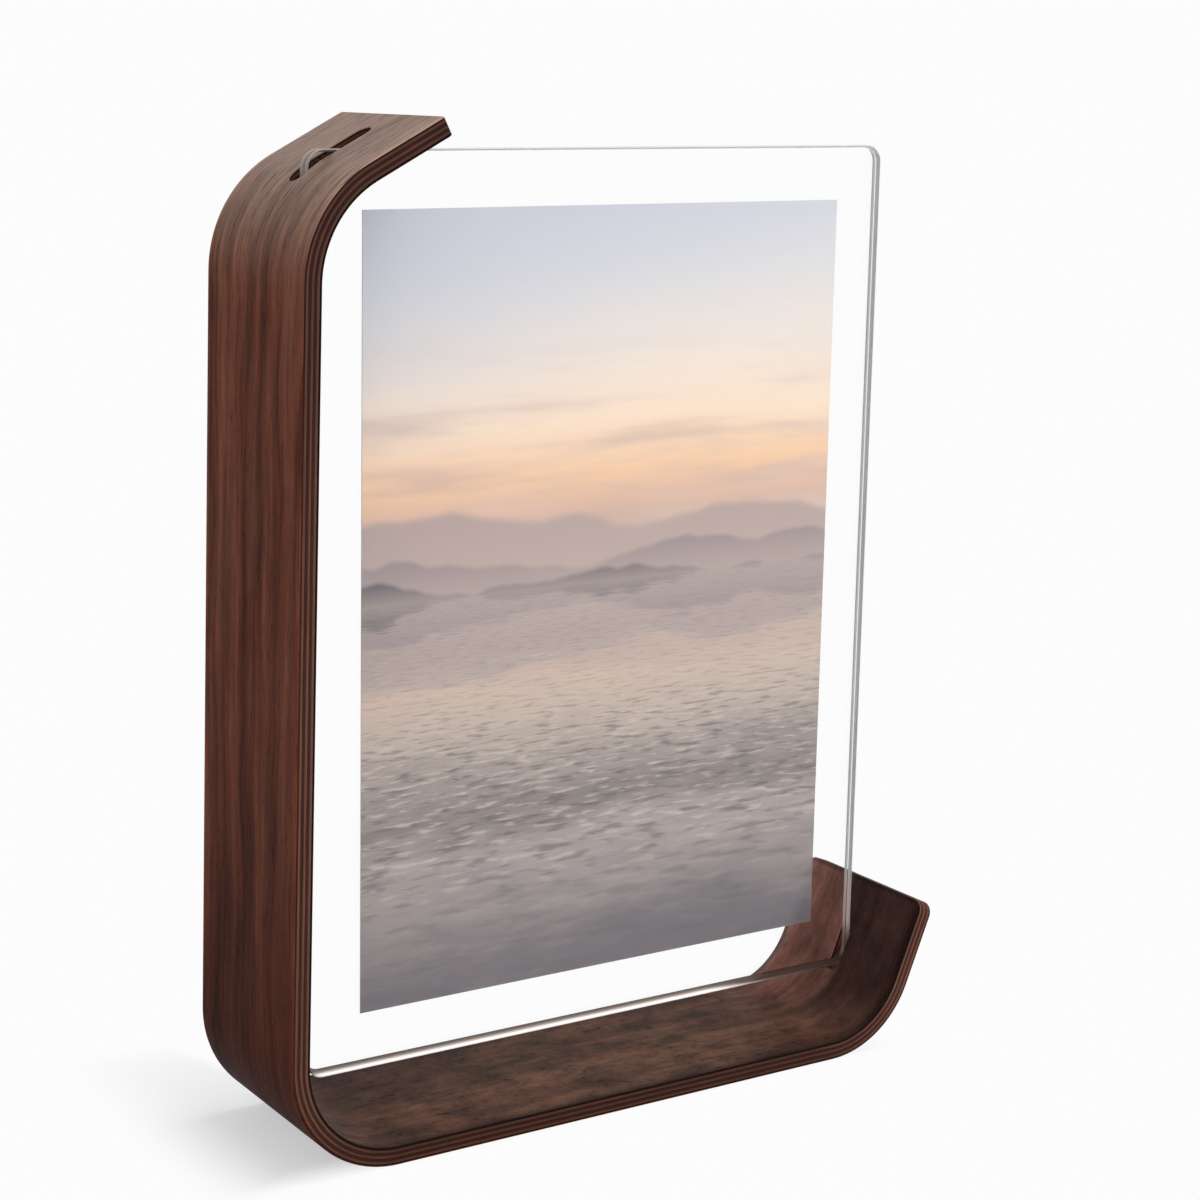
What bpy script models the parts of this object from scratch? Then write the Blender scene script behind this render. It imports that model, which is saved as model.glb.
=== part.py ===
"""Bentwood picture frame: a moulded veneer strip that holds two clear sheets by two opposite corners.

The strip runs from the top lip, down the leg, along the base and up the side end. Each of its
veneers is a separate solid. The sheets stand on edge, with the print between them: their top left
corner passes through a slot in the lip, and their bottom right corner sits in a slot in the side end.

World frame: +X to the right, +Y to the back, +Z up, in metres. The origin is on the table under the
middle of the frame.
"""

import math

import bmesh
import bpy
from mathutils import Matrix, Vector

MM = 0.001

# Strip section
STRIP_WIDTH = 44.5 * MM
VENEER_THICKNESS = 0.58 * MM
VENEER_COUNT = 7
GLUE_LINE = 0.05 * MM
EDGE_EASING = 0.3 * MM

# Strip outline, with its radii on the outer face
FOOT_BEND_RADIUS = 26.0 * MM
LEG_LEAN = math.radians(1.0)
LIP_BEND_RADIUS = 28.0 * MM
LIP_BEND_ANGLE = math.radians(61.4)
LIP_STRAIGHT = 19.5 * MM
LIP_CORNER_RADIUS = 0.8 * MM
SIDE_BEND_RADIUS = 24.0 * MM
SIDE_BEND_ANGLE = math.radians(68.0)
SIDE_STRAIGHT = 20.3 * MM
SIDE_CORNER_RADIUS = 3.0 * MM

# Clear sheets and print
SHEET_WIDTH = 152.4 * MM
SHEET_HEIGHT = 203.2 * MM
SHEET_THICKNESS = 1.4 * MM
SHEET_CORNER_RADIUS = 4.0 * MM
SHEET_EDGE_EASING = 0.15 * MM
SHEET_SPACE = 0.8 * MM
PRINT_WIDTH = 127.0 * MM
PRINT_HEIGHT = 177.8 * MM
PRINT_THICKNESS = 0.25 * MM
PRINT_RIGHT_OF_MIDDLE = 1.0 * MM

# Where the sheets stand in the strip
LEG_TO_SHEET = 10.0 * MM
BASE_TO_SHEET = 9.8 * MM
CORNER_ABOVE_LIP_BEND = 3.3 * MM
CORNER_INSIDE_SIDE_BEND = 1.0 * MM

# Slots, each milled square to the end of the strip, with round ends
LIP_SLOT_CLEARANCE = 0.7 * MM
SIDE_SLOT_CLEARANCE = 0.3 * MM
SLOT_SEAT_CLEARANCE = 0.35 * MM
SLOT_PAST_SHEET = 0.5 * MM

# Worked out from the sizes above
VENEER_PITCH = VENEER_THICKNESS + GLUE_LINE
STRIP_THICKNESS = VENEER_COUNT * VENEER_PITCH - GLUE_LINE
PANEL_THICKNESS = 2.0 * SHEET_THICKNESS + SHEET_SPACE
SHEET_LEFT = STRIP_THICKNESS + LEG_TO_SHEET
SHEET_RIGHT = SHEET_LEFT + SHEET_WIDTH
SHEET_BOTTOM = STRIP_THICKNESS + BASE_TO_SHEET
SHEET_TOP = SHEET_BOTTOM + SHEET_HEIGHT

# Steps and limits of the shapes themselves
BEND_STEP = math.radians(4.0)
CORNER_STEP = math.radians(15.0)
EASING_STEPS = 2
SHARP_ANGLE = math.radians(30.0)
WELD_DISTANCE = 0.0005 * MM
ON_FACE = 0.02 * MM

# Colour, roughness, metallic
DARK_WALNUT = ((0.130, 0.058, 0.038, 1.0), 0.55, 0.0)
PALE_VENEER = ((0.235, 0.130, 0.090, 1.0), 0.65, 0.0)
CLEAR_SHEET = ((0.900, 0.930, 0.930, 1.0), 0.05, 0.0)
PRINT_PAPER = ((0.560, 0.480, 0.500, 1.0), 0.45, 0.0)

PART_COLLECTION = "bentwood_picture_frame"
CUTTER_COLLECTION = "cutters"


def clear_scene():
    """Remove whatever the scene holds, and make the two collections."""
    for obj in list(bpy.data.objects):
        bpy.data.objects.remove(obj, do_unlink=True)
    for name in (PART_COLLECTION, CUTTER_COLLECTION):
        collection = bpy.data.collections.new(name)
        bpy.context.scene.collection.children.link(collection)


def make_material(name, finish):
    """Return a Principled material of this colour, roughness and metallic value."""
    colour, roughness, metallic = finish
    material = bpy.data.materials.new(name)
    material.use_nodes = True
    shader = material.node_tree.nodes["Principled BSDF"]
    shader.inputs["Base Color"].default_value = colour
    shader.inputs["Roughness"].default_value = roughness
    shader.inputs["Metallic"].default_value = metallic
    if finish is CLEAR_SHEET:
        shader.inputs["Transmission Weight"].default_value = 1.0
    return material


# The strip's outer face, seen from the front as points (x, z)

def heading_vector(heading):
    """Return the unit vector that points along this heading."""
    return Vector((math.cos(heading), math.sin(heading)))


def right_of(heading):
    """Return the unit vector to the right of this heading, which is the strip's outward normal."""
    return Vector((math.sin(heading), -math.cos(heading)))


def leg_length():
    """Return the straight length of the leg that sets the lip bend just under the sheets' corner."""
    up_leg = heading_vector(math.pi / 2.0 - LEG_LEAN)
    outward = heading_vector(math.pi - LEG_LEAN)
    foot_centre = Vector((FOOT_BEND_RADIUS, FOOT_BEND_RADIUS))
    start = foot_centre + outward * (FOOT_BEND_RADIUS - LIP_BEND_RADIUS)
    to_corner = Vector((SHEET_LEFT, SHEET_TOP)) - start
    reach = LIP_BEND_RADIUS + CORNER_ABOVE_LIP_BEND
    along = to_corner.dot(up_leg)
    across = to_corner.dot(outward)
    return along - math.sqrt(reach ** 2 - across ** 2)


def base_length():
    """Return the straight length of the base that sets the side bend just outside the sheets' corner."""
    reach = SIDE_BEND_RADIUS - CORNER_INSIDE_SIDE_BEND
    drop = SIDE_BEND_RADIUS - SHEET_BOTTOM
    centre_x = SHEET_RIGHT - math.sqrt(reach ** 2 - drop ** 2)
    return centre_x - FOOT_BEND_RADIUS


def walk_bend(path, radius, angle):
    """Carry the path round a left-hand bend, adding a point and its heading at each step."""
    point, heading = path[-1]
    centre = point - right_of(heading) * radius
    steps = math.ceil(angle / BEND_STEP)
    for step in range(1, steps + 1):
        turned = heading + angle * step / steps
        path.append((centre + right_of(turned) * radius, turned))


def walk_straight(path, length):
    """Carry the path straight on by this length."""
    point, heading = path[-1]
    path.append((point + heading_vector(heading) * length, heading))


def outer_face_path():
    """Return the outer face line from the lip's tip to the side end's tip, as (point, heading)."""
    lip_heading = -math.pi / 2.0 - LEG_LEAN - LIP_BEND_ANGLE
    path = [(Vector((0.0, 0.0)), lip_heading)]
    walk_straight(path, LIP_STRAIGHT)
    walk_bend(path, LIP_BEND_RADIUS, LIP_BEND_ANGLE)
    walk_straight(path, leg_length())
    walk_bend(path, FOOT_BEND_RADIUS, math.pi / 2.0 + LEG_LEAN)
    foot_end = path[-1][0].copy()
    walk_straight(path, base_length())
    walk_bend(path, SIDE_BEND_RADIUS, SIDE_BEND_ANGLE)
    walk_straight(path, SIDE_STRAIGHT)
    move = Vector((FOOT_BEND_RADIUS, 0.0)) - foot_end
    return [(point + move, heading) for point, heading in path]


PATH = outer_face_path()
FRAME_CENTRE_X = (min(point.x for point, _ in PATH) + max(point.x for point, _ in PATH)) / 2.0


def offset_path(depth):
    """Return the points of the line that lies this deep inside the outer face."""
    return [point - right_of(heading) * depth for point, heading in PATH]


def depth_in_strip(point):
    """Return how deep this point (x, z) lies under the strip's outer face."""
    distances = []
    for (start, _), (end, _) in zip(PATH[:-1], PATH[1:]):
        along = end - start
        share = min(max((point - start).dot(along) / along.length_squared, 0.0), 1.0)
        distances.append((point - start - along * share).length)
    return min(distances)


def crossing(points, axis, level):
    """Return the first place along these points where their x (axis 0) or z (axis 1) is at this level."""
    for start, end in zip(points[:-1], points[1:]):
        if min(start[axis], end[axis]) <= level <= max(start[axis], end[axis]):
            return start.lerp(end, (level - start[axis]) / (end[axis] - start[axis]))
    raise ValueError("the edge of the sheets misses this end of the strip")


# Building blocks

def facing_front(x, y, z):
    """Return the matrix that stands a flat outline up, facing the front, with its origin in this place."""
    return Matrix.Translation((x - FRAME_CENTRE_X, y, z)) @ Matrix.Rotation(math.pi / 2.0, 4, "X")


def curve_to_mesh_object(curve, name, matrix, collection):
    """Turn a curve into a welded mesh object that stands where this matrix puts it."""
    guide = bpy.data.objects.new(name + "_guide", curve)
    bpy.context.scene.collection.objects.link(guide)
    guide.matrix_world = matrix
    bpy.context.view_layer.update()
    evaluated = guide.evaluated_get(bpy.context.evaluated_depsgraph_get())
    mesh = bpy.data.meshes.new_from_object(evaluated)
    mesh.name = name
    placed = guide.matrix_world.copy()
    bpy.data.objects.remove(guide, do_unlink=True)
    bpy.data.curves.remove(curve)
    welded = bmesh.new()
    welded.from_mesh(mesh)
    bmesh.ops.remove_doubles(welded, verts=welded.verts, dist=WELD_DISTANCE)
    welded.to_mesh(mesh)
    welded.free()
    obj = bpy.data.objects.new(name, mesh)
    obj.matrix_world = placed
    bpy.data.collections[collection].objects.link(obj)
    return obj


def flat_curve(name, points, half_depth, closed):
    """Return a flat curve through these points, drawn out by half_depth to each side of its plane."""
    curve = bpy.data.curves.new(name, "CURVE")
    curve.dimensions = "2D"
    curve.fill_mode = "BOTH" if closed else "NONE"
    curve.extrude = half_depth
    spline = curve.splines.new("POLY")
    spline.points.add(len(points) - 1)
    for control, point in zip(spline.points, points):
        control.co = (point.x, point.y, 0.0, 1.0)
    spline.use_cyclic_u = closed
    return curve


def rounded_outline(width, height, radius):
    """Return the outline of a rectangle about the origin, its corners rounded."""
    x = width / 2.0 - radius
    y = height / 2.0 - radius
    steps = round(math.pi / 2.0 / CORNER_STEP)
    points = []
    for quarter, centre in enumerate(((x, y), (-x, y), (-x, -y), (x, -y))):
        for index in range(steps + 1):
            heading = (quarter + index / steps) * math.pi / 2.0
            point = Vector(centre) + heading_vector(heading) * radius
            if not points or (point - points[-1]).length > WELD_DISTANCE:
                points.append(point)
    if (points[0] - points[-1]).length <= WELD_DISTANCE:
        points.pop()
    return points


def flat_piece(name, outline, thickness, to_right, to_back):
    """Make a flat upright piece of this outline, this far from the middle of the sheets."""
    curve = flat_curve(name, outline, thickness / 2.0, True)
    middle_x = (SHEET_LEFT + SHEET_RIGHT) / 2.0
    middle_z = (SHEET_BOTTOM + SHEET_TOP) / 2.0
    matrix = facing_front(middle_x + to_right, to_back, middle_z)
    return curve_to_mesh_object(curve, name, matrix, PART_COLLECTION)


# Slots

def slot_cutter(name, inner_face, tip_crossing, seat_crossing, clearance):
    """Make the cutter of the slot near the first point of inner_face, square to the strip there.

    The slot runs from just beyond one crossing of the sheets' edge, on the side of the tip, to just
    beyond the other crossing, where the sheets are seated. It is wider than both sheets together by
    the clearance on each side.
    """
    radius = PANEL_THICKNESS / 2.0 + clearance
    end_recess = radius - math.sqrt(radius ** 2 - (PANEL_THICKNESS / 2.0) ** 2)
    tip = inner_face[0]
    direction = (inner_face[1] - tip).normalized()
    near_end = (tip_crossing - tip).dot(direction) - SLOT_PAST_SHEET - end_recess
    far_end = (seat_crossing - tip).dot(direction) + SLOT_SEAT_CLEARANCE + end_recess
    middle = tip + direction * (near_end + far_end) / 2.0
    outline = rounded_outline(far_end - near_end, 2.0 * radius, radius)
    along = Vector((direction.x, 0.0, direction.y))
    across = Vector((0.0, 1.0, 0.0))
    matrix = Matrix((along, across, along.cross(across))).transposed().to_4x4()
    matrix.translation = Vector((middle.x - FRAME_CENTRE_X, 0.0, middle.y))
    curve = flat_curve(name, outline, 2.0 * STRIP_THICKNESS, True)
    cutter = curve_to_mesh_object(curve, name, matrix, CUTTER_COLLECTION)
    cutter.hide_render = True
    cutter.display_type = "WIRE"
    return cutter


def make_slot_cutters():
    """Make the cutters of the two slots, whose ends follow the edges of the sheets."""
    from_lip = offset_path(STRIP_THICKNESS)
    from_side = from_lip[::-1]
    lip_cutter = slot_cutter(
        "lip_slot_cutter",
        from_lip,
        crossing(from_lip, 1, SHEET_TOP),
        crossing(from_lip, 0, SHEET_LEFT),
        LIP_SLOT_CLEARANCE,
    )
    side_cutter = slot_cutter(
        "side_slot_cutter",
        from_side,
        crossing(from_side, 0, SHEET_RIGHT),
        crossing(from_side, 1, SHEET_BOTTOM),
        SIDE_SLOT_CLEARANCE,
    )
    return lip_cutter, side_cutter


# Pieces

def round_tip_corners(mesh, tip, radius):
    """Round the two corners of an open strip surface at one of its tips."""
    surface = bmesh.new()
    surface.from_mesh(mesh)
    corners = [vert for vert in surface.verts if (vert.co.xy - tip).length < ON_FACE]
    steps = round(math.pi / 2.0 / CORNER_STEP)
    bmesh.ops.bevel(surface, geom=corners, offset=radius, segments=steps, profile=0.5, affect="VERTICES")
    surface.to_mesh(mesh)
    surface.free()


def ease_rim(mesh, depth):
    """Round the sharp edges that a face veneer, laid this deep, shows around the strip's face."""
    easing = bmesh.new()
    easing.from_mesh(mesh)
    on_face = [abs(depth_in_strip(vert.co.xy) - depth) < ON_FACE for vert in easing.verts]
    rim = [
        edge for edge in easing.edges
        if edge.calc_face_angle() > SHARP_ANGLE and all(on_face[vert.index] for vert in edge.verts)
    ]
    bmesh.ops.bevel(easing, geom=rim, offset=EDGE_EASING, segments=EASING_STEPS, profile=0.5, affect="EDGES")
    easing.to_mesh(mesh)
    easing.free()


def make_veneer(name, index, finish, cutters):
    """Make one veneer of the strip: an open ribbon, thickened inwards and cut by the slots."""
    depth = index * VENEER_PITCH
    points = offset_path(depth)
    curve = flat_curve(name, points, STRIP_WIDTH / 2.0, False)
    veneer = curve_to_mesh_object(curve, name, facing_front(0.0, 0.0, 0.0), PART_COLLECTION)
    round_tip_corners(veneer.data, points[0], LIP_CORNER_RADIUS)
    round_tip_corners(veneer.data, points[-1], SIDE_CORNER_RADIUS)
    lip_face = min(veneer.data.polygons, key=lambda face: (face.center.xy - points[0]).length)
    faces_out = lip_face.normal.xy.dot(right_of(PATH[0][1])) > 0.0
    shell = veneer.modifiers.new("thickness", "SOLIDIFY")
    shell.thickness = VENEER_THICKNESS
    shell.offset = -1.0 if faces_out else 1.0
    shell.use_even_offset = True
    for cutter in cutters:
        cut = veneer.modifiers.new(cutter.name, "BOOLEAN")
        cut.operation = "DIFFERENCE"
        cut.solver = "EXACT"
        cut.object = cutter
    bpy.context.view_layer.update()
    solid = bpy.data.meshes.new_from_object(veneer.evaluated_get(bpy.context.evaluated_depsgraph_get()))
    veneer.modifiers.clear()
    veneer.data = solid
    solid.name = name
    if index == 0:
        ease_rim(solid, 0.0)
    if index == VENEER_COUNT - 1:
        ease_rim(solid, STRIP_THICKNESS)
    dress(veneer, finish)
    return veneer


def dress(obj, finish):
    """Give a piece its own material and smooth shading."""
    obj.data.materials.clear()
    obj.data.materials.append(make_material(obj.name, finish))
    obj.data.shade_smooth()
    obj.data.set_sharp_from_angle(angle=SHARP_ANGLE)


def veneer_name(index):
    """Return the name of the veneer at this place, counted from the outer face."""
    if index == 0:
        return "outer_face_veneer"
    if index == VENEER_COUNT - 1:
        return "inner_face_veneer"
    return f"core_ply_{index}"


def make_strip():
    """Make the strip's veneers, dark and pale by turns."""
    cutters = make_slot_cutters()
    for index in range(VENEER_COUNT):
        finish = DARK_WALNUT if index % 2 == 0 else PALE_VENEER
        make_veneer(veneer_name(index), index, finish, cutters)


def make_sheet(name, to_back):
    """Make one clear sheet, its edges just broken."""
    outline = rounded_outline(SHEET_WIDTH, SHEET_HEIGHT, SHEET_CORNER_RADIUS)
    sheet = flat_piece(name, outline, SHEET_THICKNESS, 0.0, to_back)
    easing = sheet.modifiers.new("edge_easing", "BEVEL")
    easing.width = SHEET_EDGE_EASING
    easing.segments = 1
    easing.limit_method = "ANGLE"
    easing.angle_limit = SHARP_ANGLE
    dress(sheet, CLEAR_SHEET)


def make_glazing():
    """Make the two sheets and the print between them."""
    sheet_to_back = (SHEET_SPACE + SHEET_THICKNESS) / 2.0
    make_sheet("front_sheet", -sheet_to_back)
    make_sheet("back_sheet", sheet_to_back)
    outline = rounded_outline(PRINT_WIDTH, PRINT_HEIGHT, 0.0)
    dress(flat_piece("photo_print", outline, PRINT_THICKNESS, PRINT_RIGHT_OF_MIDDLE, 0.0), PRINT_PAPER)


def main():
    """Build the whole frame."""
    clear_scene()
    make_strip()
    make_glazing()


main()
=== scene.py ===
"""Dressed scene of the bentwood picture frame.

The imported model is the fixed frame. Finer meshes with procedural finishes stand for its veneers,
its two clear sheets and its print, on a plain pale floor under soft studio light. Lengths are in
metres in the meshes and in millimetres in the finishes.
"""

import logging
import math
from collections.abc import Callable, Sequence
from dataclasses import dataclass, field
from enum import Enum, IntEnum
from functools import reduce

import bmesh
import bpy
from mathutils import Matrix, Vector


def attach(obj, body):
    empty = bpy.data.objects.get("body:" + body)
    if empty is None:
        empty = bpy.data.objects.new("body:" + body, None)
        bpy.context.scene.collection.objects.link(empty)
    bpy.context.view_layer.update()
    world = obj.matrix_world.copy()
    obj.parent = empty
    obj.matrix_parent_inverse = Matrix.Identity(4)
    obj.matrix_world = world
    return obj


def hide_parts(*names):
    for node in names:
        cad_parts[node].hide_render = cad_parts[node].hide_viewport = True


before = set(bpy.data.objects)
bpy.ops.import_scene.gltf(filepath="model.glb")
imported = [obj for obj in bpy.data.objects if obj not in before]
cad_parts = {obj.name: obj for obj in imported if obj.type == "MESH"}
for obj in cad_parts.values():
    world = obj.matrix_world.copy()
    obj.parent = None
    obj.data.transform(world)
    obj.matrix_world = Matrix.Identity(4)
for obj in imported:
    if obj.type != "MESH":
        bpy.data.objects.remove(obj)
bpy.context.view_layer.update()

LOG = logging.getLogger("picture_frame_scene")
MM = 0.001
FACE_SLACK = 0.02 * MM
SHARP_ANGLE = math.radians(40.0)
FLAT_FACE_WEIGHT = 100
WHITE = (1.0, 1.0, 1.0, 1.0)
STRIP_PLACE = "strip_place"
PICTURE_PLACE = "picture_place"
Colour = tuple[float, float, float]
Range = tuple[float, float]
Stops = Sequence[tuple[float, Colour]]
Sockets = dict[str | int, object]


# Shader expressions


class Value:
    """A number, vector or colour that changes over a surface: the output socket of a node."""

    def __init__(self, board: "ShaderBoard", socket: bpy.types.NodeSocket) -> None:
        """Keep the board and the socket."""
        self.board = board
        self.socket = socket

    def __add__(self, other: "Number") -> "Value":
        """Add a number."""
        return self.board.math("ADD", self, other)

    def __radd__(self, other: float) -> "Value":
        """Add to a number."""
        return self.board.math("ADD", other, self)

    def __sub__(self, other: "Number") -> "Value":
        """Subtract a number."""
        return self.board.math("SUBTRACT", self, other)

    def __rsub__(self, other: float) -> "Value":
        """Subtract from a number."""
        return self.board.math("SUBTRACT", other, self)

    def __mul__(self, other: "Number") -> "Value":
        """Multiply by a number."""
        return self.board.math("MULTIPLY", self, other)

    def __rmul__(self, other: float) -> "Value":
        """Multiply a number."""
        return self.board.math("MULTIPLY", other, self)

    def __truediv__(self, other: "Number") -> "Value":
        """Divide by a number."""
        return self.board.math("DIVIDE", self, other)

    def __rtruediv__(self, other: float) -> "Value":
        """Divide a number."""
        return self.board.math("DIVIDE", other, self)

    def __abs__(self) -> "Value":
        """Return the size without its sign."""
        return self.board.math("ABSOLUTE", self)

    def step(self, low: float, high: float) -> "Value":
        """Return a soft step.

        Args:
            low: Where it is 0.
            high: Where it is 1.

        Returns:
            The step.
        """
        sockets = {"Value": self, "From Min": low, "From Max": high}
        made = self.board.node("ShaderNodeMapRange", {"interpolation_type": "SMOOTHSTEP"}, sockets)
        return Value(self.board, made.outputs["Result"])

    def within(self, low: float, full: float, fading: float, gone: float) -> "Value":
        """Return 1 from full to fading, and 0 before low and past gone."""
        return self.step(low, full) * (1.0 - self.step(fading, gone))


Number = Value | float


@dataclass(frozen=True)
class ShaderBoard:
    """A node tree, and the ways in which this script adds nodes to it."""

    tree: bpy.types.NodeTree

    def node(self, kind: str, settings: dict[str, object], sockets: Sockets) -> bpy.types.Node:
        """Add one node.

        Args:
            kind: The node's type.
            settings: Its properties, set first. "stops" gives a colour ramp's stops.
            sockets: Values or links of its input sockets, by name or place.

        Returns:
            The new node.
        """
        made = self.tree.nodes.new(kind)
        for name, setting in settings.items():
            if name == "stops":
                self.fill_ramp(made.color_ramp, setting)
            else:
                setattr(made, name, setting)
        for name, value in sockets.items():
            if isinstance(value, Value):
                self.tree.links.new(value.socket, made.inputs[name])
            elif isinstance(value, bpy.types.NodeSocket):
                self.tree.links.new(value, made.inputs[name])
            else:
                made.inputs[name].default_value = value
        return made

    @staticmethod
    def fill_ramp(ramp: bpy.types.ColorRamp, stops: Stops) -> None:
        """Give a colour ramp these stops.

        Args:
            ramp: The ramp to fill.
            stops: Places from 0 to 1 with their colours.
        """
        while len(ramp.elements) < len(stops):
            ramp.elements.new(1.0)
        for element, (place, colour) in zip(ramp.elements, stops):
            element.position = place
            element.color = (*colour, 1.0)

    def math(self, operation: str, *terms: Number) -> Value:
        """Return the result of a Math node with this operation."""
        made = self.node("ShaderNodeMath", {"operation": operation}, dict(enumerate(terms)))
        return Value(self, made.outputs[0])

    def larger(self, first: Number, second: Number) -> Value:
        """Return the larger of two numbers."""
        return self.math("MAXIMUM", first, second)

    def parts(self, kind: str, output: str, settings: dict[str, object]) -> tuple[Value, Value, Value]:
        """Return the x, y and z of what a node gives.

        Args:
            kind: The node's type.
            output: The output's name.
            settings: The node's properties.

        Returns:
            Its x, y and z.
        """
        where = self.node(kind, settings, {})
        split = self.node("ShaderNodeSeparateXYZ", {}, {"Vector": where.outputs[output]})
        return tuple(Value(self, part) for part in split.outputs)

    def place(self, name: str) -> tuple[Value, Value, Value]:
        """Return the x, y and z of the places stored under this name."""
        return self.parts("ShaderNodeAttribute", "Vector", {"attribute_name": name})

    def noise(self, x: Number, y: Number, z: Number, detail: float, roughness: float = 0.5) -> Value:
        """Return smooth noise from 0 to 1 about a half, one unit of its place being one feature.

        Args:
            x: First part of the place.
            y: Second part of the place.
            z: Third part of the place.
            detail: How many finer layers it has.
            roughness: How strong the finer layers are.

        Returns:
            The noise.
        """
        where = self.node("ShaderNodeCombineXYZ", {}, {"X": x, "Y": y, "Z": z})
        sockets = {
            "Vector": where.outputs["Vector"], "Scale": 1.0, "Detail": detail, "Roughness": roughness,
        }
        return Value(self, self.node("ShaderNodeTexNoise", {}, sockets).outputs[0])

    def ramp(self, factor: Value, stops: Stops) -> Value:
        """Return the colour of a ramp at this factor."""
        return Value(self, self.node("ShaderNodeValToRGB", {"stops": stops}, {"Fac": factor}).outputs[0])

    def mix(self, factor: Number, first: Value | Colour, second: Value | Colour, blend: str = "MIX") -> Value:
        """Mix two colours.

        Args:
            factor: Share of the second colour.
            first: The first colour.
            second: The second colour.
            blend: The blend type.

        Returns:
            The mixed colour.
        """
        settings = {"data_type": "RGBA", "blend_type": blend}
        sockets = {
            0: factor,
            6: first if isinstance(first, Value) else (*first, 1.0),
            7: second if isinstance(second, Value) else (*second, 1.0),
        }
        return Value(self, self.node("ShaderNodeMix", settings, sockets).outputs[2])

    def shade(self, colour: Value | Colour, level: Number) -> Value:
        """Scale a colour by a number."""
        made = self.node("ShaderNodeVectorMath", {"operation": "SCALE"}, {"Vector": colour, "Scale": level})
        return Value(self, made.outputs["Vector"])

    def bump(self, height: Value, distance: float) -> Value:
        """Return the normal of a surface with this height, 1 being as high as distance."""
        made = self.node("ShaderNodeBump", {}, {"Height": height, "Distance": distance, "Strength": 1.0})
        return Value(self, made.outputs["Normal"])

    def surface(self, sockets: Sockets) -> None:
        """Give the material a Principled surface with these socket values."""
        shader = self.node("ShaderNodeBsdfPrincipled", {}, sockets)
        self.node("ShaderNodeOutputMaterial", {}, {"Surface": shader.outputs[0]})

    def surface_of_two(self, share: Value, first: bpy.types.Node, second: bpy.types.Node) -> None:
        """Give the material a mix of two shaders, with this share of the second."""
        mixed = self.node("ShaderNodeMixShader", {}, {0: share, 1: first.outputs[0], 2: second.outputs[0]})
        self.node("ShaderNodeOutputMaterial", {}, {"Surface": mixed.outputs[0]})

    def any_ray(self, *names: str) -> Value:
        """Return 1 for the named kinds of rays and 0 for others."""
        path = self.node("ShaderNodeLightPath", {}, {})
        return reduce(self.larger, (Value(self, path.outputs[name]) for name in names))


def new_material(name: str) -> tuple[bpy.types.Material, ShaderBoard]:
    """Make an empty node material.

    Args:
        name: The material's name.

    Returns:
        The material and a board on its node tree.
    """
    material = bpy.data.materials.new(name)
    material.use_nodes = True
    material.node_tree.nodes.clear()
    return material, ShaderBoard(material.node_tree)


@dataclass(frozen=True)
class Pattern:
    """A noise pattern: its marks' length and width, its seed, its detail, and the range that shows."""

    length: float
    width: float
    seed: float = 0.0
    detail: float = 2.0
    roughness: float = 0.5
    shows: Range = (0.0, 1.0)

    def raw(self, board: ShaderBoard, along: Value, across: Value, seed: Number = 0.0) -> Value:
        """Return the pattern as it is, from 0 to 1 about a half. Another seed gives another surface."""
        places = (along / self.length, across / self.width, seed + self.seed)
        return board.noise(*places, self.detail, self.roughness)

    def draw(self, board: ShaderBoard, along: Value, across: Value, seed: Number = 0.0) -> Value:
        """Return the pattern's marks, from 0 at the low end of the range that shows to 1 at its high end."""
        return self.raw(board, along, across, seed).step(*self.shows)


# The strip's outline


class Turn(Enum):
    """What a stretch of the strip does."""

    STRAIGHT = "straight"
    BEND = "bend"


class Section(IntEnum):
    """The strip's stretches that others are measured from, by their place in order."""

    FOOT_BEND = 3
    BASE = 4
    SIDE_END = 6


@dataclass(frozen=True)
class Stretch:
    """A straight or a bend of the strip's outer face line, seen from the front as (x, z)."""

    turn: Turn
    start: Vector
    heading: float
    length: float
    radius: float
    begins: float

    def point(self, along: float, depth: float) -> tuple[Vector, float]:
        """Return the point this far along the stretch and this deep under the outer face.

        Args:
            along: Distance from the start of the stretch, on the outer face.
            depth: Distance inwards.

        Returns:
            The point (x, z) and the heading there.
        """
        if self.turn is Turn.STRAIGHT:
            forwards = Vector((math.cos(self.heading), math.sin(self.heading)))
            inwards = Vector((-math.sin(self.heading), math.cos(self.heading)))
            return self.start + forwards * along + inwards * depth, self.heading
        turned = self.heading + along / self.radius
        outwards = Vector((math.sin(turned), -math.cos(turned)))
        return self.centre() + outwards * (self.radius - depth), turned

    def centre(self) -> Vector:
        """Return the centre of a bend."""
        return self.start + Vector((-math.sin(self.heading), math.cos(self.heading))) * self.radius

    def locate(self, point: Vector) -> tuple[float, float]:
        """Return how far along the stretch and how deep a point lies.

        Args:
            point: The point (x, z).

        Returns:
            The distance along the outer face from the start, and the depth.
        """
        if self.turn is Turn.STRAIGHT:
            offset = point - self.start
            forwards = Vector((math.cos(self.heading), math.sin(self.heading)))
            inwards = Vector((-math.sin(self.heading), math.cos(self.heading)))
            return offset.dot(forwards), offset.dot(inwards)
        offset = point - self.centre()
        turned = math.atan2(offset.x, -offset.y) - self.heading
        turned = (turned + math.pi) % (2.0 * math.pi) - math.pi
        return turned * self.radius, self.radius - offset.length


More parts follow.
